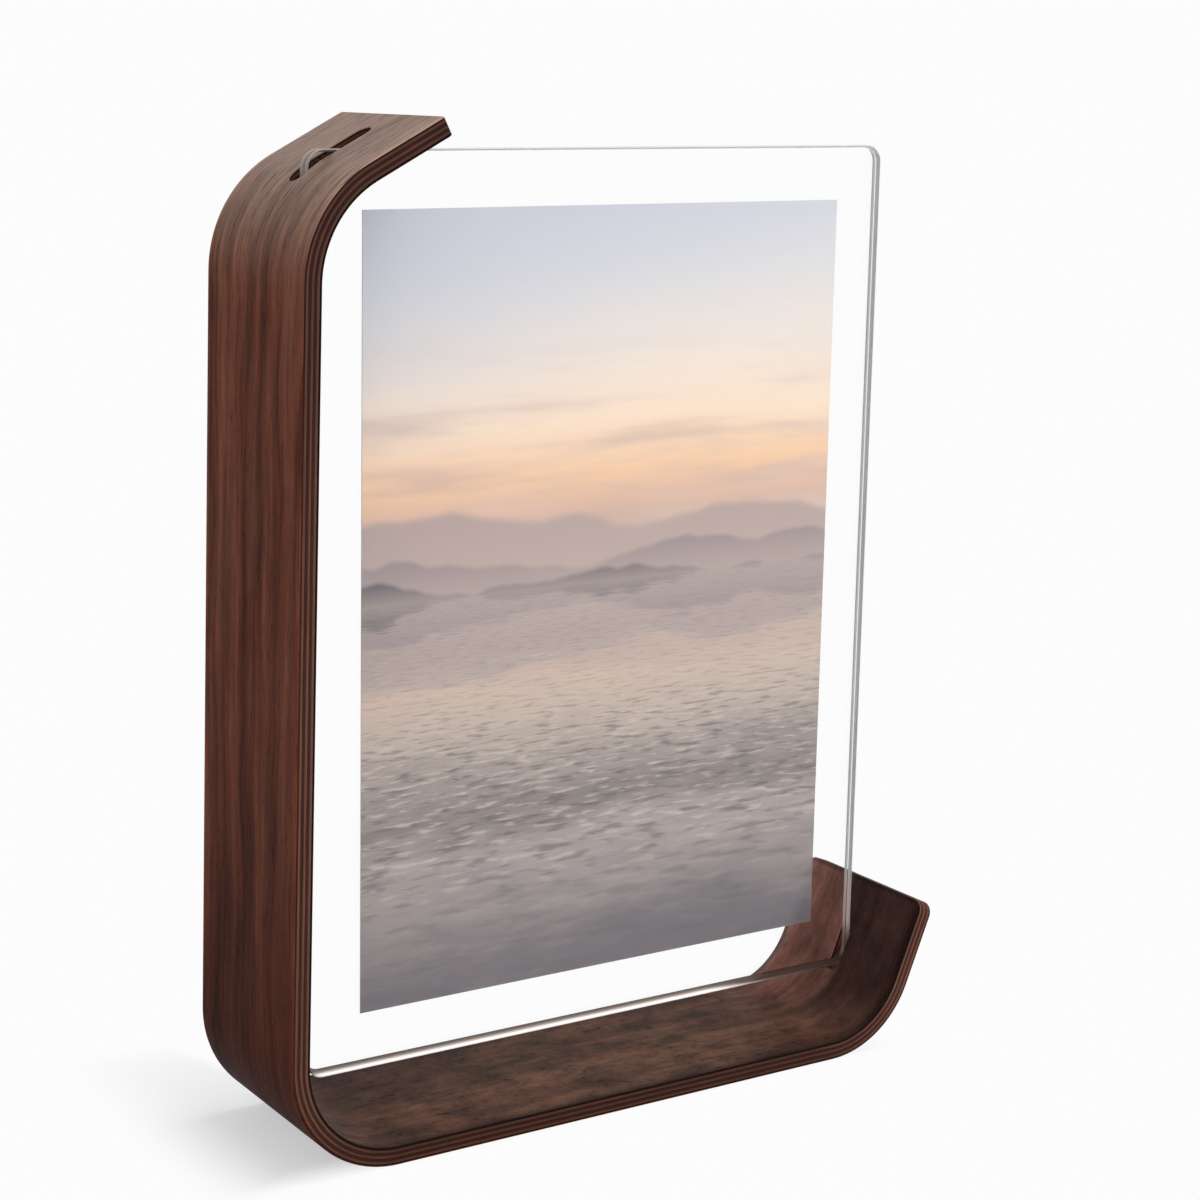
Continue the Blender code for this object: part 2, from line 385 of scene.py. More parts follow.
@dataclass(frozen=True)
class StripOutline:
    """The strip's outer face line from the lip's tip to the side end's tip, as the CAD model has it."""

    thickness: float = 4.36 * MM
    foot_radius: float = 26.0 * MM
    leg_lean: float = math.radians(1.0)
    lip_radius: float = 28.0 * MM
    lip_angle: float = math.radians(61.4)
    lip_straight: float = 19.5 * MM
    side_radius: float = 24.0 * MM
    side_angle: float = math.radians(68.0)
    side_straight: float = 20.3 * MM
    sheet_left: float = 14.36 * MM
    sheet_bottom: float = 14.16 * MM
    sheet_width: float = 152.4 * MM
    sheet_height: float = 203.2 * MM
    corner_above_lip: float = 3.3 * MM
    corner_inside_side: float = 1.0 * MM
    straight_step: float = 5.0 * MM
    bend_step: float = math.radians(2.0)
    stretches: list[Stretch] = field(default_factory=list)

    def __post_init__(self) -> None:
        """Walk the outline once, and set it in the middle of the frame's width."""
        heading = -math.pi / 2.0 - self.leg_lean - self.lip_angle
        plan = [
            (Turn.STRAIGHT, self.lip_straight, 0.0),
            (Turn.BEND, self.lip_radius * self.lip_angle, self.lip_radius),
            (Turn.STRAIGHT, self.leg_length(), 0.0),
            (Turn.BEND, self.foot_radius * (math.pi / 2.0 + self.leg_lean), self.foot_radius),
            (Turn.STRAIGHT, self.base_length(), 0.0),
            (Turn.BEND, self.side_radius * self.side_angle, self.side_radius),
            (Turn.STRAIGHT, self.side_straight, 0.0),
        ]
        walked = self.walk(plan, Vector((0.0, 0.0)), heading)
        leftmost = walked[Section.FOOT_BEND].centre().x - self.foot_radius
        tip = walked[Section.SIDE_END].point(self.side_straight, 0.0)[0]
        middle = (leftmost + tip.x) / 2.0
        move = Vector((-middle, -walked[Section.BASE].start.y))
        self.stretches.extend(self.walk(plan, move, heading))

    @staticmethod
    def walk(plan: list[tuple[Turn, float, float]], start: Vector, heading: float) -> list[Stretch]:
        """Walk the stretches of a plan one after another.

        Args:
            plan: Kind, length and radius of each stretch.
            start: Where the first begins.
            heading: Its heading.

        Returns:
            The stretches.
        """
        walked = []
        begins = 0.0
        for turn, length, radius in plan:
            stretch = Stretch(turn, start, heading, length, radius, begins)
            walked.append(stretch)
            start, heading = stretch.point(length, 0.0)
            begins += length
        return walked

    def leg_length(self) -> float:
        """Return the leg's straight length.

        Returns:
            The length that sets the lip bend just under the sheets' corner.
        """
        up_leg = Vector((math.sin(self.leg_lean), math.cos(self.leg_lean)))
        outward = Vector((-math.cos(self.leg_lean), math.sin(self.leg_lean)))
        start = Vector((self.foot_radius, self.foot_radius)) + outward * (self.foot_radius - self.lip_radius)
        to_corner = Vector((self.sheet_left, self.sheet_bottom + self.sheet_height)) - start
        reach = self.lip_radius + self.corner_above_lip
        return to_corner.dot(up_leg) - math.sqrt(reach**2 - to_corner.dot(outward) ** 2)

    def base_length(self) -> float:
        """Return the base's straight length.

        Returns:
            The length that sets the side bend just outside the sheets' corner.
        """
        reach = self.side_radius - self.corner_inside_side
        run = math.sqrt(reach**2 - (self.side_radius - self.sheet_bottom) ** 2)
        return self.sheet_left + self.sheet_width - run - self.foot_radius

    def origin_x(self) -> float:
        """Return the x of the leg's outermost point, from which the sheets' places are measured."""
        return self.stretches[Section.FOOT_BEND].centre().x - self.foot_radius

    def length(self) -> float:
        """Return the outline's whole length."""
        return self.stretches[-1].begins + self.stretches[-1].length

    def stations(self) -> list[float]:
        """Return where a veneer's mesh has a row of points.

        Returns:
            The places along the outline, in order.
        """
        places = []
        for stretch in self.stretches:
            step = self.straight_step if stretch.turn is Turn.STRAIGHT else stretch.radius * self.bend_step
            count = math.ceil(stretch.length / step)
            places.extend(stretch.begins + stretch.length * index / count for index in range(count))
        return [*places, self.length()]

    def point(self, along: float, depth: float) -> Vector:
        """Return the point (x, z) this far along the outline and this deep under it.

        Args:
            along: Distance from the lip's tip, on the outer face.
            depth: Distance inwards.

        Returns:
            The point.
        """
        holding = self.stretches[0]
        for stretch in self.stretches:
            if stretch.begins <= along:
                holding = stretch
        return holding.point(along - holding.begins, depth)[0]

    def locate(self, point: Vector) -> tuple[float, float]:
        """Return how far along the outline and how deep under it a point lies.

        Args:
            point: The point (x, z).

        Returns:
            The distance from the lip's tip, and the depth.
        """
        best = (0.0, math.inf)
        for stretch in self.stretches:
            along, depth = stretch.locate(point)
            inside = -FACE_SLACK <= along <= stretch.length + FACE_SLACK
            if inside and abs(depth - self.thickness / 2.0) < abs(best[1] - self.thickness / 2.0):
                best = (along + stretch.begins, depth)
        return best


# Meshes


def add_object(name: str, mesh: bpy.types.Mesh) -> bpy.types.Object:
    """Put a mesh in the scene.

    Args:
        name: The object's name.
        mesh: Its mesh.

    Returns:
        The object.
    """
    made = bpy.data.objects.new(name, mesh)
    bpy.context.scene.collection.objects.link(made)
    return made


def mesh_from(name: str, points: Sequence[Vector], faces: Sequence[Sequence[int]]) -> bpy.types.Mesh:
    """Make a mesh whose normals all point out.

    Args:
        name: The mesh's name.
        points: Its points.
        faces: Its faces, as places in points.

    Returns:
        The mesh.
    """
    mesh = bpy.data.meshes.new(name)
    mesh.from_pydata(points, [], faces)
    shell = bmesh.new()
    shell.from_mesh(mesh)
    bmesh.ops.recalc_face_normals(shell, faces=shell.faces)
    shell.to_mesh(mesh)
    shell.free()
    return mesh


def band_faces(starts: Sequence[int], count: int, closed: bool) -> list[list[int]]:
    """Return the quads between rows of points.

    Args:
        starts: Where each row starts in the list of points.
        count: How many points a row has.
        closed: Whether a row's last point joins its first.

    Returns:
        The quads.
    """
    return [
        [first + index, first + (index + 1) % count, second + (index + 1) % count, second + index]
        for first, second in zip(starts[:-1], starts[1:])
        for index in range(count if closed else count - 1)
    ]


def capped_rings(name: str, rings: Sequence[Sequence[Vector]]) -> bpy.types.Mesh:
    """Make a mesh of rings of points, one joined to the next, with a flat face over each end.

    Args:
        name: The mesh's name.
        rings: The rings, as many points in each.

    Returns:
        The mesh.
    """
    count = len(rings[0])
    starts = [ring * count for ring in range(len(rings))]
    faces = [list(range(count)), list(range(starts[-1], starts[-1] + count))]
    faces.extend(band_faces(starts, count, True))
    return mesh_from(name, [point for ring in rings for point in ring], faces)


def quarter_turn(steps: int) -> list[float]:
    """Return the angles of a quarter turn, both ends and the steps between them."""
    return [math.pi / 2.0 * step / steps for step in range(steps + 1)]


def store_places(mesh: bpy.types.Mesh, name: str, place: Callable[[Vector], Sequence[float]]) -> None:
    """Store a vector at each point of a mesh, for its finish to read.

    Args:
        mesh: The mesh.
        name: The attribute's name.
        place: Gives the vector of a point.
    """
    stored = mesh.attributes.new(name, "FLOAT_VECTOR", "POINT")
    for point, entry in zip(mesh.vertices, stored.data):
        entry.vector = place(point.co)


def shade_smoothly(piece: bpy.types.Object) -> None:
    """Shade a piece smoothly except at its sharp edges, with its large faces kept flat.

    Args:
        piece: The piece.
    """
    piece.data.shade_smooth()
    piece.data.set_sharp_from_angle(angle=SHARP_ANGLE)
    weighted = piece.modifiers.new("large_faces_flat", "WEIGHTED_NORMAL")
    weighted.keep_sharp = True
    weighted.weight = FLAT_FACE_WEIGHT


def settle(piece: bpy.types.Object, body: str, node: str) -> None:
    """Fit a piece to the frame in place of a CAD node.

    Args:
        piece: The piece.
        body: The body that it rides on.
        node: The node that it stands for, which is hidden.
    """
    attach(piece, body)
    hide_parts(node)
    LOG.info("%s: %d points, rides on %s, stands for %s", piece.name, len(piece.data.vertices), body, node)


def rounded_rectangle(width: float, height: float, radius: float, steps: int) -> list[Vector]:
    """Return the outline of a rectangle about the origin with rounded corners.

    Args:
        width: Its width.
        height: Its height.
        radius: Its corners' radius.
        steps: How many chords a corner has.

    Returns:
        The outline's points.
    """
    points = []
    for quarter, (right, up) in enumerate(((1, 1), (-1, 1), (-1, -1), (1, -1))):
        centre = Vector((right * (width / 2.0 - radius), up * (height / 2.0 - radius)))
        for angle in quarter_turn(steps):
            turned = quarter * math.pi / 2.0 + angle
            points.append(centre + Vector((math.cos(turned), math.sin(turned))) * radius)
    return points


# Wood


def grey_level(level: float) -> Colour:
    """Return a grey of this level."""
    return (level, level, level)


@dataclass(frozen=True)
class PlyEdge:
    """The sanded edge of a veneer, with fine lines along it, its tint changing along the strip."""

    dark: Colour
    light: Colour
    tints: Stops = (
        (0.020, (0.33, 0.29, 0.31)),
        (0.150, (0.36, 0.34, 0.34)),
        (0.250, (0.50, 0.49, 0.48)),
        (0.520, (0.49, 0.47, 0.45)),
        (0.600, (0.285, 0.225, 0.195)),
        (0.870, (0.285, 0.225, 0.195)),
        (0.940, (0.57, 0.55, 0.54)),
    )
    tint_scale: float = 2.0
    strip_length: float = 424.4
    roughness: float = 0.6
    line: Pattern = Pattern(7.0, 7.0, roughness=0.6, shows=(0.25, 0.75))
    line_depth: float = 0.13
    line_share: float = 0.55
    slow: Pattern = Pattern(23.0, 19.0, shows=(0.2, 0.8))
    slow_depth: float = 2.0
    slow_share: float = 0.45
    dot: Pattern = Pattern(0.5, 0.5, detail=1.0, shows=(0.60, 0.72))
    dot_depth: float = 0.2
    dot_share: float = 0.6
    ridge: Pattern = Pattern(5.0, 5.0)
    ridge_depth: float = 0.1
    ridge_height: float = 0.02 * MM
    ridge_roughness: float = 0.2
    specular: float = 0.1

    def tone(self, board: ShaderBoard, along: Value, across: Value, depth: Value, seed: float) -> Value:
        """Return the edge's colour.

        Args:
            board: The board to build on.
            along: Millimetres along the strip.
            across: Millimetres across it.
            depth: Millimetres under its outer face.
            seed: Sets one veneer apart from another.

        Returns:
            The colour.
        """
        lines = self.line.draw(board, along, across, depth / self.line_depth + seed)
        slow = self.slow.draw(board, along + seed * self.slow.length, across, depth / self.slow_depth)
        dots = self.dot.draw(board, along, across, depth / self.dot_depth + seed)
        light = (self.line_share * lines + self.slow_share * slow) * (1.0 - self.dot_share * dots)
        colour = board.mix(light, self.dark, self.light)
        tint = board.ramp(along / self.strip_length, self.tints)
        return board.shade(board.mix(1.0, colour, tint, "MULTIPLY"), self.tint_scale)

    def build(self, name: str, seed: float) -> bpy.types.Material:
        """Make the material of a core veneer, which shows only its edges.

        Args:
            name: The material's name.
            seed: Sets one veneer apart from another.

        Returns:
            The material.
        """
        material, board = new_material(name)
        along, across, depth = board.place(STRIP_PLACE)
        ridges = self.ridge.raw(board, along, across, depth / self.ridge_depth + seed)
        board.surface({
            "Base Color": self.tone(board, along, across, depth, seed),
            "Roughness": self.roughness + self.ridge_roughness * (ridges - 0.5),
            "Specular IOR Level": self.specular,
            "Normal": board.bump(ridges, self.ridge_height),
        })
        return material


@dataclass(frozen=True)
class Grain:
    """How the grain of one face runs and shows: its marks, in millimetres, and the share of each."""

    broad: Pattern
    broad_share: float
    streak: Pattern
    streak_share: float
    fibre_share: float
    pore_depth: float
    ashen_share: float
    mottled: float
    wander: float
    stroke_depth: float = 0.0
    slow_bend: Pattern = Pattern(64.0, 24.0)
    quick_bend: Pattern = Pattern(15.0, 8.0, 3.0)
    quick_wander: float = 1.1
    fibre: Pattern = Pattern(8.0, 0.34, 13.0, 2.0, 0.6, (0.25, 0.75))
    pore: Pattern = Pattern(3.4, 0.26, 17.0, 1.0, shows=(0.60, 0.70))
    ashen: Pattern = Pattern(75.0, 4.0, 19.0, shows=(0.48, 0.70))
    stroke: Pattern = Pattern(9.5, 0.52, 31.0, shows=(0.55, 0.63))
    strokes_end: Range = (0.07, 0.14)
    cloud: Pattern = Pattern(11.0, 7.5, 23.0, 5.0, 0.68, (0.29, 0.71))
    cloud_share: float = 0.95
    cloud_middle: float = 0.47
    fleck: Pattern = Pattern(2.6, 1.4, 29.0, 3.0, shows=(0.56, 0.66))
    fleck_share: float = 0.4
    fleck_wander: float = 5.6
    fibre_height: float = 0.6
    streak_height: float = 0.5
    pore_dip: float = 0.9
    fleck_dip: float = 0.8


@dataclass(frozen=True)
class FrontShade:
    """The darker front part of the side end, before the sheets' edge, as shares of the strip and mm."""

    depth: float = 0.0
    grows: Range = (0.855, 0.94)
    border: Range = (-3.4, -0.6)
    slant: float = 5.4
    slants: Range = (0.94, 1.0)

    def level(self, place: Value, across: Value) -> Value:
        """Return how much of the light is left at this share of the strip and place across it."""
        slanted = across - self.slant * place.step(*self.slants)
        return 1.0 - self.depth * (place.step(*self.grows) * (1.0 - slanted.step(*self.border)))


@dataclass(frozen=True)
class WalnutFace:
    """Oiled walnut veneer with its grain along the strip, with painted light and sheen: paler and greyer
    where it lies flat to the light.
    """

    grain: Grain
    tints: Stops
    sheens: Stops
    # Painted light and sheen: shares, along the strip, of the paler grey colour below.
    painted_light_shares: Stops
    tint_scale: float = 4.0
    wood: Stops = (
        (0.10, (0.038, 0.0105, 0.0065)),
        (0.38, (0.074, 0.0225, 0.0140)),
        (0.64, (0.108, 0.0345, 0.0220)),
        (0.94, (0.150, 0.0540, 0.0350)),
    )
    grey: Colour = (0.092, 0.0400, 0.0270)
    specular: float = 0.06
    roughness: float = 0.55
    fibre_roughness: float = 0.14
    pore_roughness: float = 0.2
    oil_roughness: float = 0.42
    oil_index: float = 1.45
    pore_sheen: float = 0.35
    front_shade: FrontShade = FrontShade()
    # Painted light and sheen: the paler grey colour that the lip and the base are mixed towards.
    painted_light_colour: Colour = (0.252, 0.164, 0.125)
    painted_light_contrast: float = 1.0
    even: Colour = (0.080, 0.0262, 0.0170)
    calm_from: Range = (0.85, 0.93)
    calm_share: float = 0.0
    calm_fleck: float = 0.75
    calm_mottling: float = 0.35
    tip: Range = (0.5, 1.5)
    tip_shade: float = 0.0
    # Painted light along the edges: above 0 a painted highlight, below 0 painted shade.
    rim: Range = (20.2, 21.7)
    rim_painted_light: float = 0.0
    arris: tuple[float, float, float, float] = (0.02, 0.12, 0.14, 0.30)
    arris_painted_light: float = 0.0
    edge_from: Range = (0.02, 0.12)
    relief: float = 0.03 * MM

    def build(
        self, name: str, length: float, face_depth: float, edge: PlyEdge, seed: float
    ) -> bpy.types.Material:
        """Make the material of one face veneer.

        Args:
            name: The material's name.
            length: Millimetres along the whole strip.
            face_depth: Millimetres from the strip's outer face to this veneer's face.
            edge: The finish of its edges.
            seed: Sets one veneer apart from another.

        Returns:
            The material.
        """
        material, board = new_material(name)
        along, across, depth = board.place(STRIP_PLACE)
        place = along / length
        grain = self.grain
        bend = grain.slow_bend.raw(board, along, across, seed) - 0.5
        quick = grain.quick_bend.raw(board, along, across, seed) - 0.5
        lane = across + bend * grain.wander + quick * grain.quick_wander
        broad, streak, fibre, pores, ashen, strokes = (
            pattern.draw(board, along, lane, seed)
            for pattern in (grain.broad, grain.streak, grain.fibre, grain.pore, grain.ashen, grain.stroke)
        )
        cloud = grain.cloud.draw(board, along, across, seed)
        calm = place.step(*self.calm_from)
        fleck = grain.fleck.draw(board, along, across + bend * grain.fleck_wander, seed)
        fleck = fleck * (1.0 - self.calm_fleck * calm)
        tone = grain.broad_share * broad + grain.streak_share * streak + grain.fibre_share * fibre
        colour = board.ramp(tone, self.wood)
        colour = board.mix(ashen * grain.ashen_share, colour, self.grey)
        colour = board.mix(calm * self.calm_share, colour, self.even)
        # The tints along the strip are partly painted light and shade: on the outside, the lip lighter and
        # greyer and the foot bend darker; on the inside, the side end lighter. The front shade is painted
        # shade on the side end before the sheets.
        colour = board.mix(1.0, colour, board.ramp(place, self.tints), "MULTIPLY")
        colour = board.shade(colour, self.tint_scale * self.front_shade.level(place, across))
        # Painted light and sheen: mix towards a paler grey colour on the lip and the base.
        painted_light_colour = board.shade(self.painted_light_colour, 1.0 + self.painted_light_contrast * (tone - 0.5))
        colour = board.mix(board.ramp(place, self.painted_light_shares), colour, painted_light_colour)
        mottled = grain.mottled * (1.0 - self.calm_mottling * calm)
        marks = grain.cloud_share * (cloud - grain.cloud_middle) - grain.fleck_share * fleck
        colour = board.shade(colour, 1.0 + mottled * marks)
        strokes = strokes * (1.0 - place.step(*grain.strokes_end)) * grain.stroke_depth
        colour = board.shade(colour, (1.0 - grain.pore_depth * pores) * (1.0 - strokes))
        colour = board.shade(colour, 1.0 - self.tip_shade * (1.0 - (length - along).step(*self.tip)))
        into = abs(depth - face_depth)
        # Painted light at the edges: a painted highlight on the outer face's rounded arris and rims, painted
        # shade on the inner face's rims.
        edge_painted_light = 1.0 + self.arris_painted_light * into.within(*self.arris)
        colour = board.shade(colour, edge_painted_light * (1.0 + self.rim_painted_light * abs(across).step(*self.rim)))
        cut = into.step(*self.edge_from)
        height = grain.fibre_height * fibre + grain.streak_height * streak - grain.pore_dip * pores
        height = height - grain.fleck_dip * grain.mottled * fleck
        board.surface({
            "Base Color": board.mix(cut, colour, edge.tone(board, along, across, depth, seed)),
            "Roughness": self.roughness + self.fibre_roughness * (fibre - 0.5) + self.pore_roughness * pores,
            "Specular IOR Level": self.specular,
            "Coat Weight": board.ramp(place, self.sheens) * (1.0 - cut) * (1.0 - self.pore_sheen * pores),
            "Coat Roughness": self.oil_roughness,
            "Coat IOR": self.oil_index,
            "Normal": board.bump(height, self.relief),
        })
        return material


OUTSIDE_WALNUT = WalnutFace(
    grain=Grain(
        broad=Pattern(120.0, 5.0, 7.0, shows=(0.30, 0.70)), broad_share=0.52,
        streak=Pattern(34.0, 1.9, 11.0, 3.0, 0.6, (0.30, 0.70)), streak_share=0.36,
        fibre_share=0.12, pore_depth=0.34, ashen_share=0.3, mottled=0.15, wander=9.0, stroke_depth=0.6,
    ),
    # Tints along the strip, partly the wood's tone and partly painted light and shade: the lip lighter and
    # greyer, the foot bend darker.
    tints=(
        (0.000, (0.50, 0.80, 0.85)),
        (0.060, (0.50, 0.75, 0.80)),
        (0.105, (0.41, 0.46, 0.44)),
        (0.135, (0.31, 0.315, 0.31)),
        (0.330, (0.277, 0.268, 0.25)),
        (0.420, (0.200, 0.178, 0.16)),
        (0.500, (0.150, 0.115, 0.095)),
        (0.560, (0.056, 0.030, 0.019)),
        (0.640, (0.22, 0.21, 0.21)),
    ),
    sheens=((0.06, grey_level(0.40)), (0.11, grey_level(0.10)), (0.13, grey_level(0.0))),
    # Painted light and sheen: the lip is mixed towards the paler grey colour.
    painted_light_shares=((0.045, grey_level(0.85)), (0.115, grey_level(0.0))),
    specular=0.02,
    painted_light_contrast=0.45,
    # Painted highlight along the rims and on the rounded arris.
    rim_painted_light=0.5,
    arris_painted_light=0.22,
    edge_from=(0.16, 0.30),
)
INSIDE_WALNUT = WalnutFace(
    grain=Grain(
        broad=Pattern(120.0, 6.5, 7.0, shows=(0.30, 0.70)), broad_share=0.42,
        streak=Pattern(24.0, 2.4, 11.0, 3.0, 0.6, (0.30, 0.70)), streak_share=0.32,
        fibre_share=0.26, pore_depth=0.25, ashen_share=0.6, mottled=1.2, wander=7.0,
    ),
    # Tints along the strip, partly the wood's tone and partly painted light and shade: the base paler towards
    # its right, the side end much lighter.
    tints=(
        (0.610, (0.14, 0.155, 0.135)),
        (0.666, (0.157, 0.175, 0.148)),
        (0.740, (0.180, 0.207, 0.172)),
        (0.800, (0.198, 0.244, 0.208)),
        (0.850, (0.162, 0.195, 0.168)),
        (0.900, (0.33, 0.44, 0.46)),
        (0.950, (0.57, 0.75, 0.90)),
    ),
    sheens=((0.60, grey_level(0.008)), (0.80, grey_level(0.010)), (0.88, grey_level(0.02))),
    # Painted light and sheen: the base is mixed towards the paler grey colour.
    painted_light_shares=(
        (0.61, grey_level(0.3)), (0.70, grey_level(0.78)), (0.80, grey_level(0.78)), (0.88, grey_level(0.0)),
    ),
    front_shade=FrontShade(0.80),
    painted_light_colour=(0.0850, 0.0400, 0.0245),
    calm_share=0.45,
    # Painted shade along the rims.
    rim_painted_light=-0.6,
    tip_shade=0.5,
)


class Face(IntEnum):
    """The strip's two face veneers, by their place among the seven."""

    OUTER = 0
    INNER = 6


@dataclass(frozen=True)
class Veneer:
    """One veneer: its place in the strip, its names, and how far its edges are rounded."""

    node: str
    piece: str
    index: int
    outer_easing: float
    inner_easing: float


@dataclass(frozen=True)
class BentStrip:
    """The moulded veneer strip with its two slots."""

    outline: StripOutline
    width: float = 44.5 * MM
    veneer: float = 0.58 * MM
    glue: float = 0.05 * MM
    lip_corner: float = 0.8 * MM
    side_corner: float = 3.0 * MM
    rim: float = 0.38 * MM
    ply_rim: float = 0.05 * MM
    rim_steps: int = 4
    corner_steps: int = 8
    corner_gap: float = 0.5 * MM
    panel: float = 3.6 * MM
    seat_clearance: float = 0.35 * MM
    past_sheets: float = 0.5 * MM
    lip_clearance: float = 0.7 * MM
    side_clearance: float = 0.3 * MM
    slot_end_steps: int = 20
    end_roundness: float = 0.999
    slot_rim: float = 0.2 * MM
    slot_rim_steps: int = 3
    slot_rim_angle: float = math.radians(50.0)
    outside_finish: WalnutFace = OUTSIDE_WALNUT
    inside_finish: WalnutFace = INSIDE_WALNUT
    dark_edge: PlyEdge = PlyEdge((0.030, 0.0085, 0.0050), (0.062, 0.0200, 0.0120))
    # Partly painted shade: the inner face veneer's edge is darker than the dark core plies, for the shade
    # along the inner rim.
    darkest_edge: PlyEdge = PlyEdge(
        (0.010, 0.0022, 0.0015), (0.022, 0.0050, 0.0032),
        tints=((0.0, grey_level(0.25)), (1.0, grey_level(0.25))),
    )
    pale_edge: PlyEdge = PlyEdge((0.080, 0.0340, 0.0230), (0.155, 0.0740, 0.0520))
    seed_step: float = 31.7

    def veneers(self) -> list[Veneer]:
        """Name the strip's veneers.

        Returns:
            The seven veneers from the outer face inwards.
        """
        cores = [
            Veneer(f"core_ply_{index}", f"{'pale' if index % 2 else 'dark'}_core_{index}", index,
                   self.ply_rim, self.ply_rim)
            for index in range(Face.OUTER + 1, Face.INNER)
        ]
        outer = Veneer("outer_face_veneer", "walnut_outer_face", Face.OUTER, self.rim, self.ply_rim)
        inner = Veneer("inner_face_veneer", "walnut_inner_face", Face.INNER, self.ply_rim, self.rim)
        return [outer, *cores, inner]

    def face_depths(self) -> dict[int, float]:
        """Return each face veneer's bare face as a depth under the strip's outer face."""
        return {Face.OUTER: 0.0, Face.INNER: self.outline.thickness}

    def layers(self, veneer: Veneer) -> list[tuple[float, float]]:
        """Return a veneer's layers from its outer face in.

        Args:
            veneer: The veneer.

        Returns:
            Each layer's depth in the strip, and how far its outline lies inside the full one.
        """
        top = veneer.index * (self.veneer + self.glue)
        bottom = top + self.veneer
        found = []
        for easing, face, inwards in ((veneer.outer_easing, top, 1.0), (veneer.inner_easing, bottom, -1.0)):
            rows = [
                (face + inwards * easing * (1.0 - math.cos(angle)), easing * (1.0 - math.sin(angle)))
                for angle in quarter_turn(self.rim_steps if easing == self.rim else 1)
            ]
            found.extend(rows if inwards > 0.0 else rows[::-1])
        return found

    def rows(self, inset: float) -> list[tuple[float, float]]:
        """Return a layer's rows from the lip's tip to the side end's tip.

        Args:
            inset: How far the layer's outline lies inside the full one.

        Returns:
            Each row's place along the strip and its half width.
        """
        length = self.outline.length()
        half = self.width / 2.0

        def corner(radius: float) -> list[tuple[float, float]]:
            """Return a rounded corner's rows.

            Args:
                radius: The corner's radius.

            Returns:
                Each row's distance from that end of the strip, and its half width.
            """
            round_by = radius - inset
            return [
                (radius - round_by * math.cos(angle), half - radius + round_by * math.sin(angle))
                for angle in quarter_turn(self.corner_steps)
            ]

        first = self.lip_corner + self.corner_gap
        last = length - self.side_corner - self.corner_gap
        middle = [(along, half - inset) for along in self.outline.stations() if first < along < last]
        side = [(length - from_end, width) for from_end, width in reversed(corner(self.side_corner))]
        return [*corner(self.lip_corner), *middle, *side]

    def blank(self, veneer: Veneer) -> bpy.types.Mesh:
        """Make a veneer without its slots, as a closed skin of quads.

        Args:
            veneer: The veneer.

        Returns:
            The mesh.
        """
        points: list[Vector] = []
        layers = self.layers(veneer)
        count = 0
        for depth, inset in layers:
            rows = self.rows(inset)
            count = len(rows)
            for along, half in rows:
                flat = self.outline.point(along, depth)
                points.append(Vector((flat.x, -half, flat.y)))
                points.append(Vector((flat.x, half, flat.y)))

        def spot(layer: int, row: int, side: int) -> int:
            """Return the place in points of one side of a row."""
            return (layer * count + row) * 2 + side

        faces = []
        last = len(layers) - 1
        for row in range(count - 1):
            for layer in (0, last):
                faces.append([spot(layer, row, 0), spot(layer, row + 1, 0),
                              spot(layer, row + 1, 1), spot(layer, row, 1)])
            for layer in range(last):
                for side in (0, 1):
                    faces.append([spot(layer, row, side), spot(layer, row + 1, side),
                                  spot(layer + 1, row + 1, side), spot(layer + 1, row, side)])
        for layer in range(last):
            for row in (0, count - 1):
                faces.append([spot(layer, row, 0), spot(layer, row, 1),
                              spot(layer + 1, row, 1), spot(layer + 1, row, 0)])
        return mesh_from(veneer.piece, points, faces)

    def crossing(self, from_tip: list[Vector], axis: int, level: float) -> Vector:
        """Return where the inner face line first reaches a level.

        Args:
            from_tip: The line's points.
            axis: 0 for x, 1 for z.
            level: The level.

        Returns:
            The point (x, z).
        """
        for start, end in zip(from_tip[:-1], from_tip[1:]):
            if min(start[axis], end[axis]) <= level <= max(start[axis], end[axis]):
                return start.lerp(end, (level - start[axis]) / (end[axis] - start[axis]))
        raise ValueError("the sheets' edge misses the strip")

    def cutter(
        self, name: str, from_tip: list[Vector], near: Vector, far: Vector, clearance: float
    ) -> bpy.types.Object:
        """Make the cutter of one slot, square to the strip's end, with round ends.

        Args:
            name: The cutter's name.
            from_tip: The inner face line, from the tip.
            near: Where the sheets' edge crosses it nearer to the tip.
            far: Where the sheets' edge crosses it further in.
            clearance: How much wider the slot is than both sheets, on each side.

        Returns:
            The cutter.
        """
        radius = self.panel / 2.0 + clearance
        recess = radius - math.sqrt(radius**2 - (self.panel / 2.0) ** 2)
        direction = (from_tip[1] - from_tip[0]).normalized()
        begins = (near - from_tip[0]).dot(direction) - self.past_sheets - recess
        ends = (far - from_tip[0]).dot(direction) + self.seat_clearance + recess
        middle = from_tip[0] + direction * (begins + ends) / 2.0
        along = Vector((direction.x, 0.0, direction.y))
        across = Vector((0.0, 1.0, 0.0))
        through = along.cross(across)
        centre = Vector((middle.x, 0.0, middle.y))
        rim = rounded_rectangle(ends - begins, 2.0 * radius, radius * self.end_roundness, self.slot_end_steps)
        rings = [
            [centre + along * point.x + across * point.y + through * reach for point in rim]
            for reach in (-2.0 * self.outline.thickness, 2.0 * self.outline.thickness)
        ]
        return add_object(name, capped_rings(name, rings))

